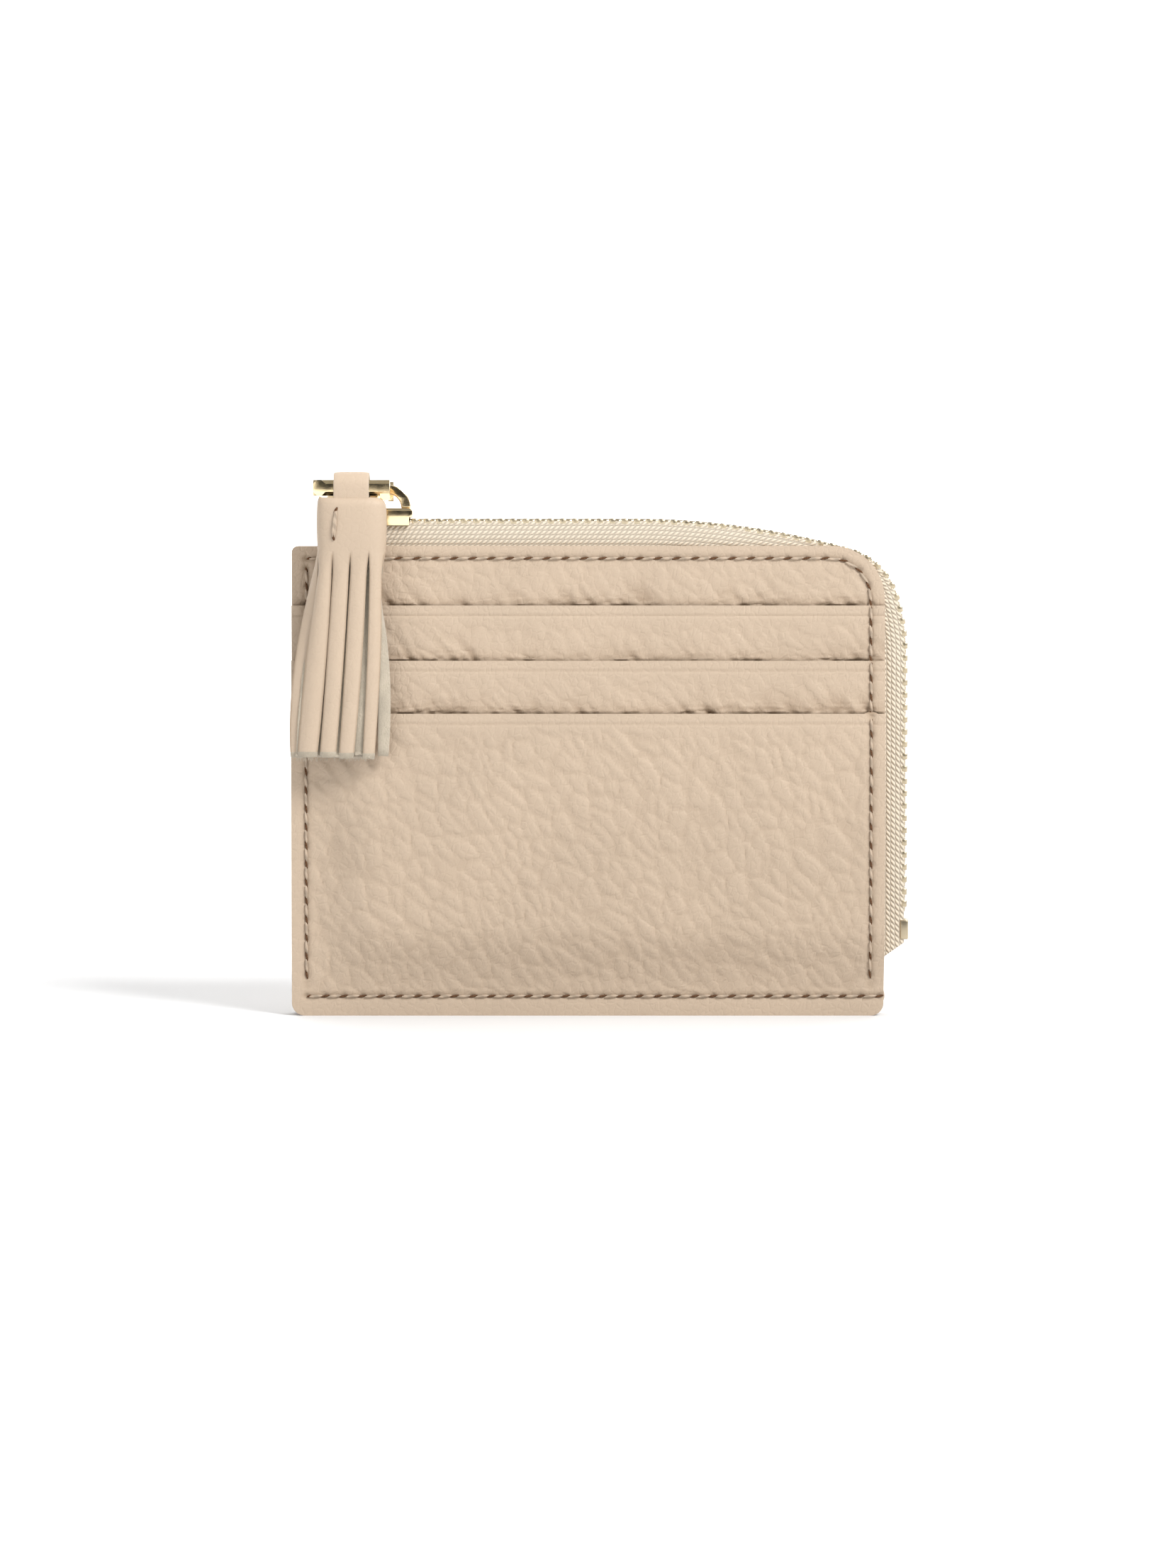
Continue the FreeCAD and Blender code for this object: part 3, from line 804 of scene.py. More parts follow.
@cached
def paper_white(name):
    """Matt floor and backdrop, which glow white away from the pouch."""
    n = Nodes(name)
    colour = bpy.context.scene.pouch_stage.floor_colour
    broad = n.noise(n.place((0.01, 0.01, 0.01)), detail=1.0)
    n.colour(broad, shade(colour, 0.995), tuple(colour))
    away = n.add("VectorMath", operation="LENGTH")
    n.link(n.place((1.0, 1.0, 0.0)), away.inputs[0])
    n.link(n.remap(away.outputs["Value"], 110.0, 600.0, 0.0, 1.0), n.shader.inputs["Emission Strength"])
    n.set(Roughness=0.9, Specular_IOR_Level=0.1)
    n.shader.inputs["Emission Color"].default_value = (1.0, 1.0, 1.0, 1.0)
    return n.material


@cached
def dark_card(name):
    """Black card that only polished metal mirrors."""
    n = Nodes(name)
    grit = n.noise(n.place((0.05, 0.05, 0.05)), detail=1.0)
    n.colour(grit, (0.012, 0.012, 0.012), (0.02, 0.02, 0.02))
    n.set(Roughness=0.9, Specular_IOR_Level=0.0)
    return n.material


# Leather --------------------------------------------------------------------------

class POUCH_OT_front_leather(bpy.types.Operator):
    """Build the base panel and the three slip pockets of the front"""
    bl_idname = "pouch.front_leather"
    bl_label = "Front Leather"

    def execute(self, context):
        seams = SeamMarks()
        relief = context.scene.pouch_leather.grain / MM
        for level, node in enumerate(FRONT_LAYERS):
            top = LAYER_TOPS[level]

            def face(x, z):
                pulled = seams.pull(x, z) if layer_at(z) == level else 0.0
                folded, pressed = wrinkles(level, x, z), crease(level, x, z)
                strength = grain(level, top, x, z)
                valley = strength * (1 - pebbles(x, z, level + 1.0)) if strength > 0 else 0.0
                inward = pulled + folded + pressed + relief * valley
                # The second value is painted shade for the grain's valleys, seams, folds and the pressed
                # line
                return SEAM_Y - front_depth(level, x, z) + inward, darkness(valley, pulled, folded, pressed)

            bm = leather_wall(top, level == 0, face, level)
            turn_to(bm, (0.0, -1.0, 0.0))
            piece = store(bm, node + "_leather", "pouch",
                          [grained_leather(1.0), suede()], (node,))
            thicken(piece, LAYER_THICKNESS[level], suede_slot=1)
            round_edges(piece, 0.3, 3)
        return {"FINISHED"}


class POUCH_OT_back_leather(bpy.types.Operator):
    """Build the plain back panel"""
    bl_idname = "pouch.back_leather"
    bl_label = "Back Leather"

    def execute(self, context):
        seams = SeamMarks()
        relief = context.scene.pouch_leather.grain / MM

        def face(x, z):
            pulled = seams.pull(x, z)
            valley = grain(None, TOP, x, z) * (1 - pebbles(x, z, 9.0))
            # The second value is painted shade for the grain's valleys and the seams
            return SEAM_Y + back_depth(x, z) - pulled - relief * valley, darkness(valley, pulled)

        bm = leather_wall(TOP, True, face, None)
        turn_to(bm, (0.0, 1.0, 0.0))
        piece = store(bm, "back_panel_leather", "pouch", [grained_leather(1.0), suede()],
                      ("back_panel",))
        thicken(piece, BACK_THICKNESS, suede_slot=1)
        round_edges(piece, 0.3, 3)
        return {"FINISHED"}


class POUCH_OT_linings(bpy.types.Operator):
    """Build the two thin linings inside the zipped compartment"""
    bl_idname = "pouch.linings"
    bl_label = "Linings"

    def execute(self, context):
        for node, sign in (("front_lining", -1), ("back_lining", 1)):
            low, high = cad(node)
            depth = max(abs(low.y - SEAM_Y), abs(high.y - SEAM_Y))
            xs = marks(low.x, high.x, [(low.x, low.x + 7)], 0.8, 2.5)
            zs = marks(low.z, high.z, [(low.z, low.z + 7)], 0.8, 2.5)
            bm, places = grid(len(xs) - 1, len(zs) - 1)
            for vert, (i, j) in places.items():
                x, z = xs[i], zs[j]
                wall = depth - 1.6 * (1 - closing(x, z)) - 0.05 * noise.noise(Vector((x / 6, sign, z / 6)))
                vert.co = (x, SEAM_Y + sign * wall, z)
            turn_to(bm, (0.0, sign, 0.0))
            piece = store(bm, node + "_cloth", "pouch", [lining_cloth()], (node,))
            thicken(piece, LINING_THICKNESS)
        return {"FINISHED"}


# Zip ------------------------------------------------------------------------------

class POUCH_OT_zip_tapes(bpy.types.Operator):
    """Build the two woven zip tapes"""
    bl_idname = "pouch.zip_tapes"
    bl_label = "Zip Tapes"

    def execute(self, context):
        line = zip_line(TAPE_FOOT)
        count = int(line.length() / 0.55)
        us = [line.length() * i / count for i in range(count + 1)]
        vs = marks(0.0, TAPE_WIDTH, [(-1, 5.5)], 0.4, 1.1)
        for node, sign in (("zip_tape_front", -1), ("zip_tape_back", 1)):
            bm, places = grid(len(us) - 1, len(vs) - 1)
            grid_uv(bm, places, us, vs)
            for vert, (i, j) in places.items():
                x, z, _ = line.at(us[i], vs[j])
                loose = math.sin(math.pi * min(1.0, vs[j] / 5.2))
                ripple = 0.1 * loose * noise.noise(Vector((us[i] / 5, sign * 3.0, vs[j] / 4)))
                depth = TAPE_DEPTH - PINCH_DROP * (1 - smooth((x - CLOSE_FROM_X) / TAPE_CLOSE_RUN))
                vert.co = (x, SEAM_Y + sign * (depth + 0.2 * loose + ripple), z)
            foot = Vector((TAPE_HIGH.x, 0.0, TAPE_LOW.z))
            bmesh.ops.bisect_plane(bm, geom=bm.verts[:] + bm.edges[:] + bm.faces[:], plane_co=foot,
                                   plane_no=Vector((3.1, 0.0, -4.4)), clear_outer=True)
            turn_to(bm, (0.0, sign, 0.0))
            piece = store(bm, node + "_weave", "pouch", [tape_weave()], (node,))
            thicken(piece, TAPE_THICKNESS, offset=0.0)
            round_edges(piece, 0.12, 2, 50.0)
            line.length() * MM
        return {"FINISHED"}


def block(bm, place, low, high):
    """A box between two corners, set at a place and heading on the zip's line."""
    x, z, heading = place
    middle = (low + high) / 2
    size = high - low
    turn = Matrix.Rotation(math.radians(heading), 4, "Y")
    bmesh.ops.create_cube(bm, size=1.0, matrix=Matrix.Translation((x, SEAM_Y, z)) @ turn
                          @ Matrix.Translation(middle) @ Matrix.Diagonal((*size, 1.0)))


def mirrored_y(low, high, sign):
    """The corners of a box on the front side, or of its twin on the back."""
    if sign < 0:
        return low, high
    return Vector((low.x, -high.y, low.z)), Vector((high.x, -low.y, high.z))


class POUCH_OT_zip_teeth(bpy.types.Operator):
    """Build both rows of teeth, clamped along the tapes' edges"""
    bl_idname = "pouch.zip_teeth"
    bl_label = "Zip Teeth"

    def execute(self, context):
        settings = context.scene.pouch_zip
        pitch, half = settings.tooth_pitch / MM, settings.tooth_length / MM / 2
        line = zip_line(TAPE_LOW.z)
        first = FIRST_TOOTH_X - TAPE_LOW.x
        last = line.length() - (LAST_TOOTH_Z - TAPE_LOW.z)
        hooked_from = SLIDER_REACH - TAPE_LOW.x
        for node, sign, shift in (("zip_teeth_front", -1, 0.0), ("zip_teeth_back", 1, pitch / 2)):
            bm = bmesh.new()
            count = int((last - first - shift) / pitch) + 1
            for i in range(count):
                s = first + shift + i * pitch
                place = line.at(s)
                tip = HOOKED_TIP if s > hooked_from else OPEN_TIP
                for low, high in (((-half, -2.0, -1.0), (half, -0.75, 0.42)),
                                  ((-half * 0.66, -0.9, -0.85), (half * 0.66, tip, 0.36)),
                                  ((-half, -2.5, -0.6), (half, -1.8, 0.5))):
                    block(bm, place, *mirrored_y(Vector(low), Vector(high), sign))
            break_edges(bm, bm.edges[:], 0.13, 1)
            store(bm, node + "_metal", "pouch", [plated_metal("teeth", 0.18)], (node,))
        return {"FINISHED"}


class POUCH_OT_zip_stops(bpy.types.Operator):
    """Build the top stops beside the slider and the bottom stop at the zip's foot"""
    bl_idname = "pouch.zip_stops"
    bl_label = "Zip Stops"

    def execute(self, context):
        line = zip_line(TAPE_LOW.z)
        low, high = cad("zip_top_stops")
        place = line.at((low.x + high.x) / 2 - TAPE_LOW.x)
        half = (high.x - low.x) / 2
        bm = bmesh.new()
        for sign in (-1, 1):
            block(bm, place, *mirrored_y(Vector((-half, -2.1, -0.9)), Vector((half, -0.3, 0.7)), sign))
            block(bm, place, *mirrored_y(Vector((-half, -2.6, -1.2)), Vector((half, -1.9, 0.6)), sign))
        break_edges(bm, bm.edges[:], 0.2, 2)
        store(bm, "zip_top_stops_metal", "pouch", [plated_metal("teeth", 0.12)],
              ("zip_top_stops",))

        bm = bmesh.new()
        place = (0.0, 0.0, 0.0)
        middle = Vector((0.0, SEAM_Y, 0.0))
        block(bm, place, STOP_LOW - middle, STOP_HIGH - middle)
        for sign in (-1, 1):
            wall = Vector((STOP_LOW.x + 0.3, -2.75, STOP_LOW.z + 0.15))
            face = Vector((STOP_HIGH.x - 0.05, -1.7, STOP_HIGH.z - 0.15))
            block(bm, place, *mirrored_y(wall, face, sign))
        break_edges(bm, bm.edges[:], 0.22, 3)
        store(bm, "zip_bottom_stop_metal", "pouch", [plated_metal("teeth", 0.08)],
              ("zip_bottom_stop",))
        return {"FINISHED"}


# Threads --------------------------------------------------------------------------

def front_surface(x, z):
    return SEAM_Y - front_depth(layer_at(z), x, z)


def back_surface(x, z):
    return SEAM_Y + back_depth(x, z)


class POUCH_OT_seam_threads(bpy.types.Operator):
    """Sew the seams: a slanting stitch between each pair of needle holes"""
    bl_idname = "pouch.seam_threads"
    bl_label = "Seam Threads"

    def execute(self, context):
        settings = context.scene.pouch_thread
        pitch, length = settings.pitch / MM, settings.length / MM
        width = settings.width / MM
        lines = seam_lines()
        jobs = (("zip_seam_thread_front", "zip_seam", (-1,)), ("zip_seam_thread_back", "zip_seam", (1,)),
                ("side_seam_thread", "side_seam", (-1, 1)), ("bottom_seam_thread", "bottom_seam", (-1, 1)))
        rng = random.Random(7)
        for node, seam, signs in jobs:
            line = lines[seam]
            threads, holes = bmesh.new(), bmesh.new()
            for sign in signs:
                surface = front_surface if sign < 0 else back_surface
                outward = Vector((0.0, sign, 0.0))
                for i in range(int(line.length() / pitch)):
                    middle = (i + 0.5) * pitch
                    tilt = 0.12 + 0.04 * rng.uniform(-1, 1)
                    ends = []
                    for share in (-0.5, 0.5):
                        x, z, _ = line.at(middle + share * length, -share * 2 * tilt)
                        ends.append(Vector((x, surface(x, z) + sign * 0.02, z)))
                    spindle(threads, *ends, outward, width * rng.uniform(0.92, 1.08), 0.38)
                    self.hole(holes, line, i * pitch, surface, sign)
                self.hole(holes, line, int(line.length() / pitch) * pitch, surface, sign)
            store(threads, node + "_stitches", "pouch", [sewing_thread()], (node,))
            store(holes, node + "_holes", "pouch", [needle_hole()], ())
        return {"FINISHED"}

    # A needle hole is a dark dash of painted shade, set just below the leather's face
    @staticmethod
    def hole(bm, line, s, surface, sign):
        ends = []
        for share in (-0.85, 0.85):
            x, z, _ = line.at(max(0.0, s + share), -share * 0.2)
            ends.append(Vector((x, surface(x, z) - sign * 0.16, z)))
        spindle(bm, *ends, Vector((0.0, sign, 0.0)), 0.38, 0.3)


# Slider and ring --------------------------------------------------------------------

def metal_copy(node, body, bevel, roughness):
    """A frame node's own shape with its sharp edges broken."""
    bm = bmesh.new()
    bm.from_mesh(frame["nodes"][node].data)
    bmesh.ops.scale(bm, vec=(1 / MM, 1 / MM, 1 / MM), verts=bm.verts)
    bmesh.ops.remove_doubles(bm, verts=bm.verts, dist=0.002)
    bmesh.ops.dissolve_limit(bm, angle_limit=math.radians(1.0), verts=bm.verts, edges=bm.edges)
    sharp = [e for e in bm.edges if len(e.link_faces) == 2 and e.calc_face_angle() > math.radians(28)]
    bmesh.ops.bevel(bm, geom=sharp, offset=bevel, offset_type="OFFSET", segments=3, profile=0.5,
                    affect="EDGES", material=-1, clamp_overlap=True)
    return store(bm, node + "_metal", body, [plated_metal("metal", roughness)], (node,))


class POUCH_OT_slider(bpy.types.Operator):
    """Finish the slider's body and its arched crown"""
    bl_idname = "pouch.slider"
    bl_label = "Slider"

    def execute(self, context):
        metal_copy("slider_body", "slider", 0.14, 0.06)
        metal_copy("slider_crown", "slider", 0.2, 0.06)
        return {"FINISHED"}


class POUCH_OT_pull_ring(bpy.types.Operator):
    """Finish the faceted pull ring"""
    bl_idname = "pouch.pull_ring"
    bl_label = "Pull Ring"

    def execute(self, context):
        metal_copy("pull_ring", "ring", 0.1, 0.05)
        return {"FINISHED"}


# Tassel -----------------------------------------------------------------------------

BAR_Y = (STRAP_LOW.y + STRAP_HIGH.y) / 2
BAR_Z = RING_TOP - 1.4
LEAN = 0.55
CAP_X = (CAP_LOW.x + CAP_HIGH.x) / 2 + LEAN
ROLL_SQUARENESS = 0.62
HALF_WAY = 0.53


def rolled_section(half_width, half_depth, samples=360):
    """Points round a flattened roll, starting at the middle of the front and going right."""
    points = []
    for k in range(samples + 1):
        a = 2 * math.pi * k / samples
        s, c = math.sin(a), math.cos(a)
        points.append((half_width * math.copysign(abs(s) ** ROLL_SQUARENESS, s),
                       -half_depth * math.copysign(abs(c) ** ROLL_SQUARENESS, c)))
    lengths = [0.0]
    for p, q in zip(points, points[1:]):
        lengths.append(lengths[-1] + math.dist(p, q))
    return points, lengths


def section_point(section, share):
    """Place and outward direction at a share of the way round."""
    points, lengths = section
    target = (share % 1.0) * lengths[-1]
    k = next(i for i in range(1, len(lengths)) if lengths[i] >= target)
    (x0, y0), (x1, y1) = points[k - 1], points[k]
    span = lengths[k] - lengths[k - 1]
    t = (target - lengths[k - 1]) / span if span else 0.0
    run = Vector((x1 - x0, y1 - y0)).normalized()
    return Vector((x0 + t * (x1 - x0), y0 + t * (y1 - y0))), Vector((run.y, -run.x))


def hanging_roll(section, slit_top, head, foot, ends, seed):
    """A rolled sheet of leather cut into strips below slit_top.

    head is the height of its top and the shape of its section there. ends gives each strip's
    half-way and lowest place: X, width, X, width, Y, turn and bulge.
    """
    rng = random.Random(seed)
    per = 8
    count = len(ends)
    columns = count * per
    gap = bpy.context.scene.pouch_tassel.slit_gap / MM / 2
    zs = marks(foot, head[0], [(slit_top - 2, head[0] + 1), (foot - 1, foot + 1.4)], 0.35, 0.9, (slit_top,))
    slit_row = zs.index(slit_top)
    bm, places = grid(columns, len(zs) - 1)
    strip_of = bm.faces.layers.int["strip"]
    at, fold = bm.verts.layers.float_vector["at"], bm.verts.layers.float["fold"]
    for face in bm.faces:
        face[strip_of] = min(places[v][0] for v in face.verts) // per
        face.material_index = 1 if max(places[v][1] for v in face.verts) <= 3 else 0
    slits = []
    for edge in bm.edges:
        (i0, j0), (i1, j1) = places[edge.verts[0]], places[edge.verts[1]]
        if i0 == i1 and i0 % per == 0 and 0 < i0 < columns and max(j0, j1) <= slit_row:
            slits.append(edge)
    for vert, (i, j) in places.items():
        vert[at] = (i, j, 0.0)
    bmesh.ops.split_edges(bm, edges=slits)
    swing = [(rng.uniform(-0.16, 0.16), rng.uniform(-0.15, 0.15), rng.uniform(0, 6)) for _ in range(count)]
    for vert in bm.verts:
        i, j = (round(c) for c in vert[at][:2])
        z = zs[j]
        point, outward = section_point(section, i / columns)
        if j >= slit_row:
            wide, deep = head[1](z, point.x > 0)
            vert.co = (CAP_X + point.x * wide, BAR_Y + point.y * deep, z)
            continue
        strip = vert.link_faces[0][strip_of]
        mid_x, mid_width, end_x, end_width, y, turn, bulge = ends[strip]
        down = (slit_top - z) / (slit_top - foot)
        across = (i - strip * per) / per - 0.5
        # Painted shade along each strip's cut sides, where the slits between strips lie in shade
        vert[fold] = 0.55 * smooth(down * 30) if abs(across) > 0.49 else 0.0
        side = Vector((math.cos(turn), math.sin(turn)))
        front = Vector((math.sin(turn), -math.cos(turn)))
        start = Vector((CAP_X + point.x, BAR_Y + point.y))
        middle = Vector((mid_x, (y + start.y) / 2 + (y - start.y) * 0.3)) + side * across * mid_width
        end = Vector((end_x, y)) + side * across * end_width
        spot = (start * (down - HALF_WAY) * (down - 1) / HALF_WAY
                + middle * down * (down - 1) / (HALF_WAY * (HALF_WAY - 1))
                + end * down * (down - HALF_WAY) / (1 - HALF_WAY))
        opened = smooth(down * 9)
        flow = front.lerp(outward, 1 - smooth(down * 2)).normalized()
        tangent = Vector((-flow.y, flow.x))
        spot -= tangent * gap * 2 * across * opened
        spot -= flow * bulge * 4 * across * across * opened
        sway, lift, phase = swing[strip]
        spot.x += sway * math.sin(down * 5 + phase) * down
        spot += front * lift * math.sin(down * 4 + phase) * down
        spot += front * 0.07 * noise.noise(Vector((spot.x / 1.3, 0.0, z / 1.9)))
        cut = max(0.0, 1 - (z - foot) / 0.9)
        spot -= front * 0.4 * cut
        ragged = 0.25 * noise.noise(Vector((spot.x * 2.4, strip * 3.0, 0.0))) * (1 if j < 3 else 0)
        vert.co = (spot.x, spot.y, z + ragged + 0.35 * phase / 6 * down)
    seam = [v for v in bm.verts if round(v[at][0]) in (0, columns) and round(v[at][1]) >= slit_row]
    bmesh.ops.remove_doubles(bm, verts=seam, dist=0.01)
    bmesh.ops.recalc_face_normals(bm, faces=bm.faces)
    facing = [f.normal.y for f in bm.faces
              if f.calc_center_median().y < BAR_Y - 1 and f.calc_center_median().z > slit_top]
    if sum(facing) > 0:
        bmesh.ops.reverse_faces(bm, faces=bm.faces)
    return bm


def hanging_piece(bm, name, material, nodes, thickness):
    piece = store(bm, name, "tassel", [material, suede()], nodes)
    thicken(piece, thickness, suede_slot=1, rim_slot=1)
    round_edges(piece, 0.16, 2, 50.0)


class POUCH_OT_tassel_leather(bpy.types.Operator):
    """Build the tassel: one rolled leather sheet with its strips, round an inner roll"""
    bl_idname = "pouch.tassel_leather"
    bl_label = "Tassel Leather"

    def execute(self, context):
        settings = context.scene.pouch_tassel
        slit_top = settings.slit_top / MM
        thickness = settings.thickness / MM
        foot = FRINGE_LOW.z
        top = CAP_HIGH.z + 0.6
        section = rolled_section((CAP_HIGH.x - CAP_LOW.x) / 2 - 0.15, (CAP_HIGH.y - CAP_LOW.y) / 2)

        def shoulder(z, right):
            """The roll rounds in at its top, most on the right, and is a little fuller half way up."""
            belly = 1 + 0.02 * math.sin((z - slit_top) / 9.0 * math.pi)
            near_top = max(0.0, (z - (top - 1.7)) / 1.7)
            over = 1 - math.sqrt(max(0.0, 1 - near_top ** 2))
            return belly - (0.26 if right else 0.05) * over, belly - 0.34 * over

        front, middle, back = SEAM_Y - 10.65, SEAM_Y - 9.8, SEAM_Y - 8.55
        ends = (
            (-41.35, 3.3, -42.6, 3.0, front - 0.1, 0.0, 0.42),
            (-37.7, 2.7, -38.65, 2.5, front + 0.1, 0.12, 0.4),
            (-38.0, 2.8, -38.4, 2.8, back - 0.2, 2.3, 0.1),
            (-39.4, 3.2, -40.4, 3.2, back, math.pi, 0.0),
            (-42.6, 3.2, -43.8, 3.2, back, math.pi, 0.0),
            (-45.8, 3.2, -47.2, 3.2, back, math.pi, 0.0),
            (-48.9, 3.2, -50.3, 3.0, back, math.pi, 0.0),
            (-50.3, 3.5, -51.1, 3.2, front + 1.5, -0.12, 0.2),
            (-48.0, 4.1, -49.7, 3.9, front + 0.1, -0.1, 0.6),
            (-44.55, 3.3, -45.95, 3.2, front - 0.05, -0.02, 0.42),
        )
        bm = hanging_roll(section, slit_top, (top, shoulder), foot, ends, 3)
        hanging_piece(bm, "tassel_wrap_leather", grained_leather(0.6), ("tassel_cap", "tassel_fringe"),
                      thickness)

        core_top = CAP_HIGH.z - 1.0
        section = rolled_section(4.6, 1.75)
        ends = (
            (-39.7, 3.6, -41.0, 3.4, middle, 0.0, 0.2),
            (-36.2, 2.4, -36.0, 2.2, middle, 0.1, 0.25),
            (-39.0, 3.2, -40.0, 3.2, middle + 0.75, math.pi, 0.0),
            (-42.6, 3.2, -43.4, 3.2, middle + 0.75, math.pi, 0.0),
            (-48.2, 3.8, -49.75, 3.9, middle + 0.1, 0.0, 0.1),
            (-44.2, 3.6, -45.5, 3.6, middle + 0.05, 0.0, 0.1),
        )
        head = (core_top, lambda z, right: (1.0, 1.0))
        bm = hanging_roll(section, slit_top - 0.5, head, foot + 0.2, ends, 5)
        hanging_piece(bm, "tassel_core_leather", suede(), (),
                      thickness * 0.75)
        return {"FINISHED"}


class POUCH_OT_tassel_fibres(bpy.types.Operator):
    """Leave loose fibres on the strips' cut ends"""
    bl_idname = "pouch.tassel_fibres"
    bl_label = "Tassel Fibres"

    def execute(self, context):
        rng = random.Random(21)
        bm = bmesh.new()
        for _ in range(90):
            x = rng.uniform(-51.6, -37.7)
            start = Vector((x, SEAM_Y - rng.uniform(9.95, 10.3), FRINGE_LOW.z + rng.uniform(0.15, 0.5)))
            reach = Vector((rng.uniform(-0.35, 0.35), rng.uniform(-0.15, 0.2), -rng.uniform(0.35, 0.8)))
            spindle(bm, start, start + reach, Vector((0.0, -1.0, 0.0)), 0.07, 0.07, 4, 3)
        store(bm, "tassel_cut_fibres", "tassel", [suede()], ())
        return {"FINISHED"}


class POUCH_OT_tassel_strap(bpy.types.Operator):
    """Build the narrow strap that passes over the ring's front bar"""
    bl_idname = "pouch.tassel_strap"
    bl_label = "Tassel Strap"

    def execute(self, context):
        width = STRAP_HIGH.x - STRAP_LOW.x
        radius = (STRAP_HIGH.y - STRAP_LOW.y) / 2
        foot = STRAP_LOW.z + 2.5
        rise = BAR_Z - foot
        arc = math.pi * radius
        total = 2 * rise + arc
        count = 46
        across = 10
        bm, places = grid(across, count)
        for vert, (i, j) in places.items():
            u = i / across - 0.5
            s = total * j / count
            crown = 0.14 * (1 - 4 * u * u)
            x = STRAP_LOW.x + LEAN + width * (u + 0.5)
            if s < rise:
                spot = (x, BAR_Y - radius - crown, foot + s)
            elif s < rise + arc:
                a = (s - rise) / radius
                reach = radius + crown + 0.35 * math.sin(a) ** 2
                spot = (x, BAR_Y - reach * math.cos(a), BAR_Z + reach * math.sin(a))
            else:
                spot = (x, BAR_Y + radius + crown, foot + (total - s))
            vert.co = spot
        turn_to(bm, (0.0, 0.0, 1.0))
        piece = store(bm, "tassel_strap_leather", "tassel", [grained_leather(0.6), suede()],
                      ("tassel_strap",))
        thicken(piece, STRAP_THICKNESS, suede_slot=1, rim_slot=1)
        round_edges(piece, 0.15, 2, 50.0)
        return {"FINISHED"}


class POUCH_OT_tassel_stitch(bpy.types.Operator):
    """Sew the single hand stitch that closes the tassel's roll"""
    bl_idname = "pouch.tassel_stitch"
    bl_label = "Tassel Stitch"

    def execute(self, context):
        low, high = cad("tassel_hand_stitch")
        half_depth = (CAP_HIGH.y - CAP_LOW.y) / 2
        face = BAR_Y - half_depth * 1.03
        x = (low.x + high.x) / 2 + 0.4
        thread, holes = bmesh.new(), bmesh.new()
        outward = Vector((0.0, -1.0, 0.0))
        top, foot = Vector((x + 0.25, face, high.z)), Vector((x - 0.2, face, low.z))
        for side in (-0.17, 0.17):
            shift = Vector((side, -0.08, 0.0))
            spindle(thread, foot + shift, top + shift * 0.6, outward, 0.55, 0.5, 10, 10)
        store(thread, "tassel_hand_stitch_thread", "tassel", [sewing_thread()],
              ("tassel_hand_stitch",))
        # Two dark dashes of painted shade stand for the stitch's needle holes
        for end, lean in ((top, 0.3), (foot, -0.15)):
            reach, sunk = Vector((lean, 0.0, 0.55)), Vector((0.0, 0.02, 0.0))
            spindle(holes, end - reach + sunk, end + reach + sunk, outward, 0.5, 0.3)
        store(holes, "tassel_hand_stitch_holes", "tassel", [needle_hole()], ())
        return {"FINISHED"}


# Stage ------------------------------------------------------------------------------

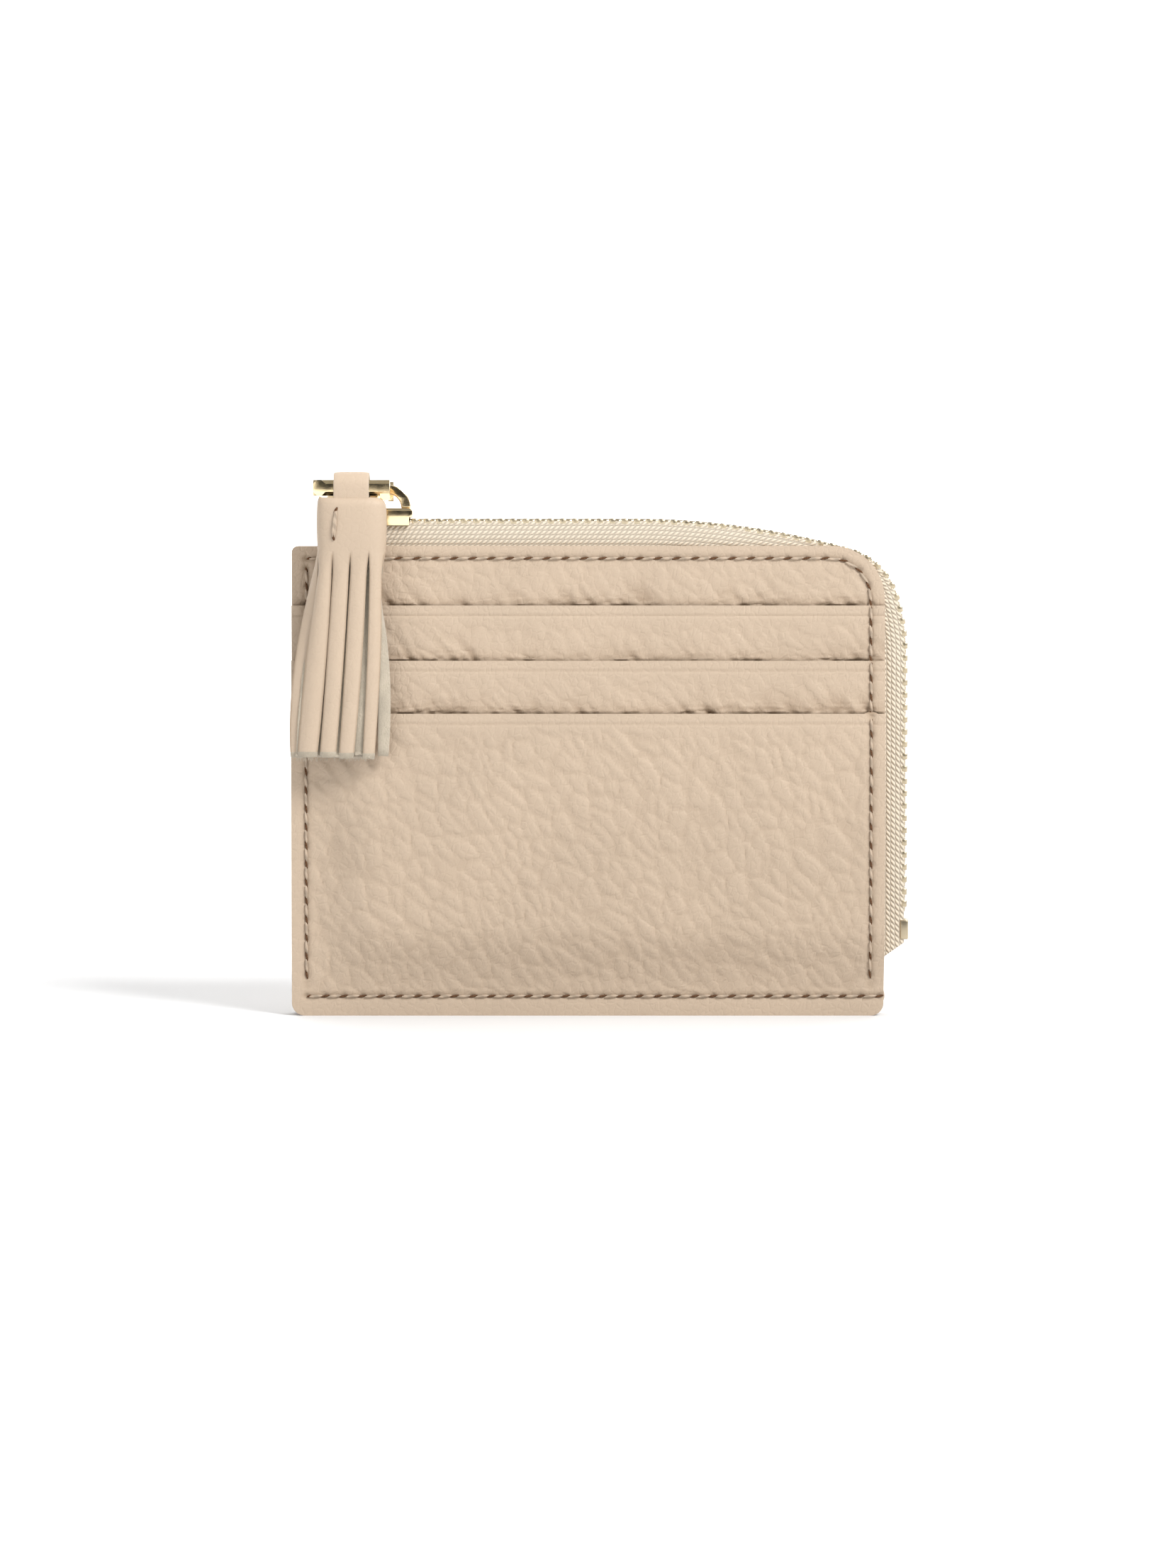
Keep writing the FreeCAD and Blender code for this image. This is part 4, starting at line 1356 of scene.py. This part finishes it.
class POUCH_OT_stage(bpy.types.Operator):
    """Set the pale floor, the soft lights and the camera"""
    bl_idname = "pouch.stage"
    bl_label = "Stage"

    def execute(self, context):
        self.backdrop()
        self.card()
        self.light("key", (0.92, -0.9, 1.28), 0.64, 33.5)
        self.light("fill", (-0.7, -0.75, 0.3), 0.9, 2.6)
        over = self.light("over", (0.0, 0.19, 1.5), 1.1, 9.0)
        over.visible_glossy = False
        self.world(context)
        self.camera(context)
        return {"FINISHED"}

    def backdrop(self):
        bm, places = grid(8, 40)
        depth, radius, height = 900.0, 500.0, 1600.0
        reach = depth * 2 + radius * math.pi / 2 + height
        for vert, (i, j) in places.items():
            s = reach * j / 40
            x = (i / 8 - 0.5) * 4000.0
            if s < depth * 2:
                vert.co = (x, s - depth * 1.25, 0.0)
            elif s < depth * 2 + radius * math.pi / 2:
                a = (s - depth * 2) / radius
                vert.co = (x, depth * 0.75 + radius * math.sin(a), radius * (1 - math.cos(a)))
            else:
                vert.co = (x, depth * 0.75 + radius, radius + s - depth * 2 - radius * math.pi / 2)
        bmesh.ops.scale(bm, vec=(MM, MM, MM), verts=bm.verts)
        bmesh.ops.recalc_face_normals(bm, faces=bm.faces)
        for face in bm.faces:
            face.smooth = True
        floor = new_object(bm, "backdrop", [paper_white()])

    def light(self, name, place, size, power):
        data = bpy.data.lights.new(name, "AREA")
        data.shape = "DISK"
        data.size = size
        data.energy = power
        lamp = bpy.data.objects.new(name, data)
        lamp.location = place
        aim = Vector((0.0, 0.0, 0.045)) - Vector(place)
        lamp.rotation_mode = "QUATERNION"
        lamp.rotation_quaternion = aim.to_track_quat("-Z", "Y")
        bpy.context.scene.collection.objects.link(lamp)
        return lamp

    def card(self):
        """Dark card behind the camera: the metal's front faces mirror it, and nothing else sees it."""
        bm = bmesh.new()
        place = (Matrix.Translation((0.0, -1.5, 0.35)) @ Matrix.Rotation(math.radians(-90), 4, "X")
                 @ Matrix.Diagonal((0.9, 0.55, 1.0, 1.0)))
        bmesh.ops.create_grid(bm, x_segments=1, y_segments=1, size=1.0, matrix=place)
        card = new_object(bm, "dark_card", [dark_card()])
        card.visible_camera = False
        card.visible_diffuse = False
        card.visible_shadow = False

    def world(self, context):
        world = bpy.data.worlds.new("studio")
        world.use_nodes = True
        tree = world.node_tree
        ambient, seen = tree.nodes["Background"], tree.nodes.new("ShaderNodeBackground")
        for shader, strength in ((ambient, 0.345), (seen, 1.1)):
            shader.inputs["Color"].default_value = (1.0, 1.0, 1.0, 1.0)
            shader.inputs["Strength"].default_value = strength
        path, mix = tree.nodes.new("ShaderNodeLightPath"), tree.nodes.new("ShaderNodeMixShader")
        tree.links.new(path.outputs["Is Camera Ray"], mix.inputs[0])
        tree.links.new(ambient.outputs[0], mix.inputs[1])
        tree.links.new(seen.outputs[0], mix.inputs[2])
        tree.links.new(mix.outputs[0], tree.nodes["World Output"].inputs["Surface"])
        context.scene.world = world
        context.scene.view_settings.view_transform = "Standard"

    def camera(self, context):
        settings = context.scene.pouch_stage
        data = bpy.data.cameras.new("camera")
        data.lens = settings.lens
        data.sensor_width = 36.0
        distance = settings.view_height * settings.lens / data.sensor_width
        target = Vector((0.05, PANEL_LOW.y, 41.4)) * MM
        back = Vector((0.0, -math.cos(settings.elevation), math.sin(settings.elevation)))
        data.clip_start, data.clip_end = 0.01, 10.0
        eye = bpy.data.objects.new("camera", data)
        eye.location = target + back * distance
        eye.rotation_mode = "QUATERNION"
        eye.rotation_quaternion = (-back).to_track_quat("-Z", "Y")
        context.scene.collection.objects.link(eye)
        context.scene.camera = eye


class POUCH_PT_panel(bpy.types.Panel):
    """Lists the pouch's settings and build steps"""
    bl_idname = "POUCH_PT_panel"
    bl_label = "Zipped Card Pouch"
    bl_space_type = "VIEW_3D"
    bl_region_type = "UI"
    bl_category = "Pouch"

    def draw(self, context):
        for title, group in GROUPS.items():
            box = self.layout.box()
            box.label(text=title)
            settings = getattr(context.scene, group[0])
            for key in group[1].__annotations__:
                box.prop(settings, key)
        for operator in OPERATORS:
            self.layout.operator(operator.bl_idname)


GROUPS = {
    "Leather": ("pouch_leather", PouchLeatherSettings),
    "Zip": ("pouch_zip", PouchZipSettings),
    "Thread": ("pouch_thread", PouchThreadSettings),
    "Tassel": ("pouch_tassel", PouchTasselSettings),
    "Stage": ("pouch_stage", PouchStageSettings),
}
OPERATORS = (
    POUCH_OT_front_leather, POUCH_OT_back_leather, POUCH_OT_linings, POUCH_OT_zip_tapes,
    POUCH_OT_zip_teeth, POUCH_OT_zip_stops, POUCH_OT_seam_threads, POUCH_OT_slider,
    POUCH_OT_pull_ring, POUCH_OT_tassel_leather, POUCH_OT_tassel_fibres, POUCH_OT_tassel_strap,
    POUCH_OT_tassel_stitch, POUCH_OT_stage,
)
CLASSES = (*(group[1] for group in GROUPS.values()), *OPERATORS, POUCH_PT_panel)


def register():
    for cls in CLASSES:
        bpy.utils.register_class(cls)
    for name, group in GROUPS.values():
        setattr(bpy.types.Scene, name, PointerProperty(type=group))


def unregister():
    for name, _ in GROUPS.values():
        delattr(bpy.types.Scene, name)
    for cls in reversed(CLASSES):
        bpy.utils.unregister_class(cls)


def main():
    register()
    for operator in OPERATORS:
        group, name = operator.bl_idname.split(".")
        getattr(getattr(bpy.ops, group), name)()


if __name__ == "__main__":
    main()
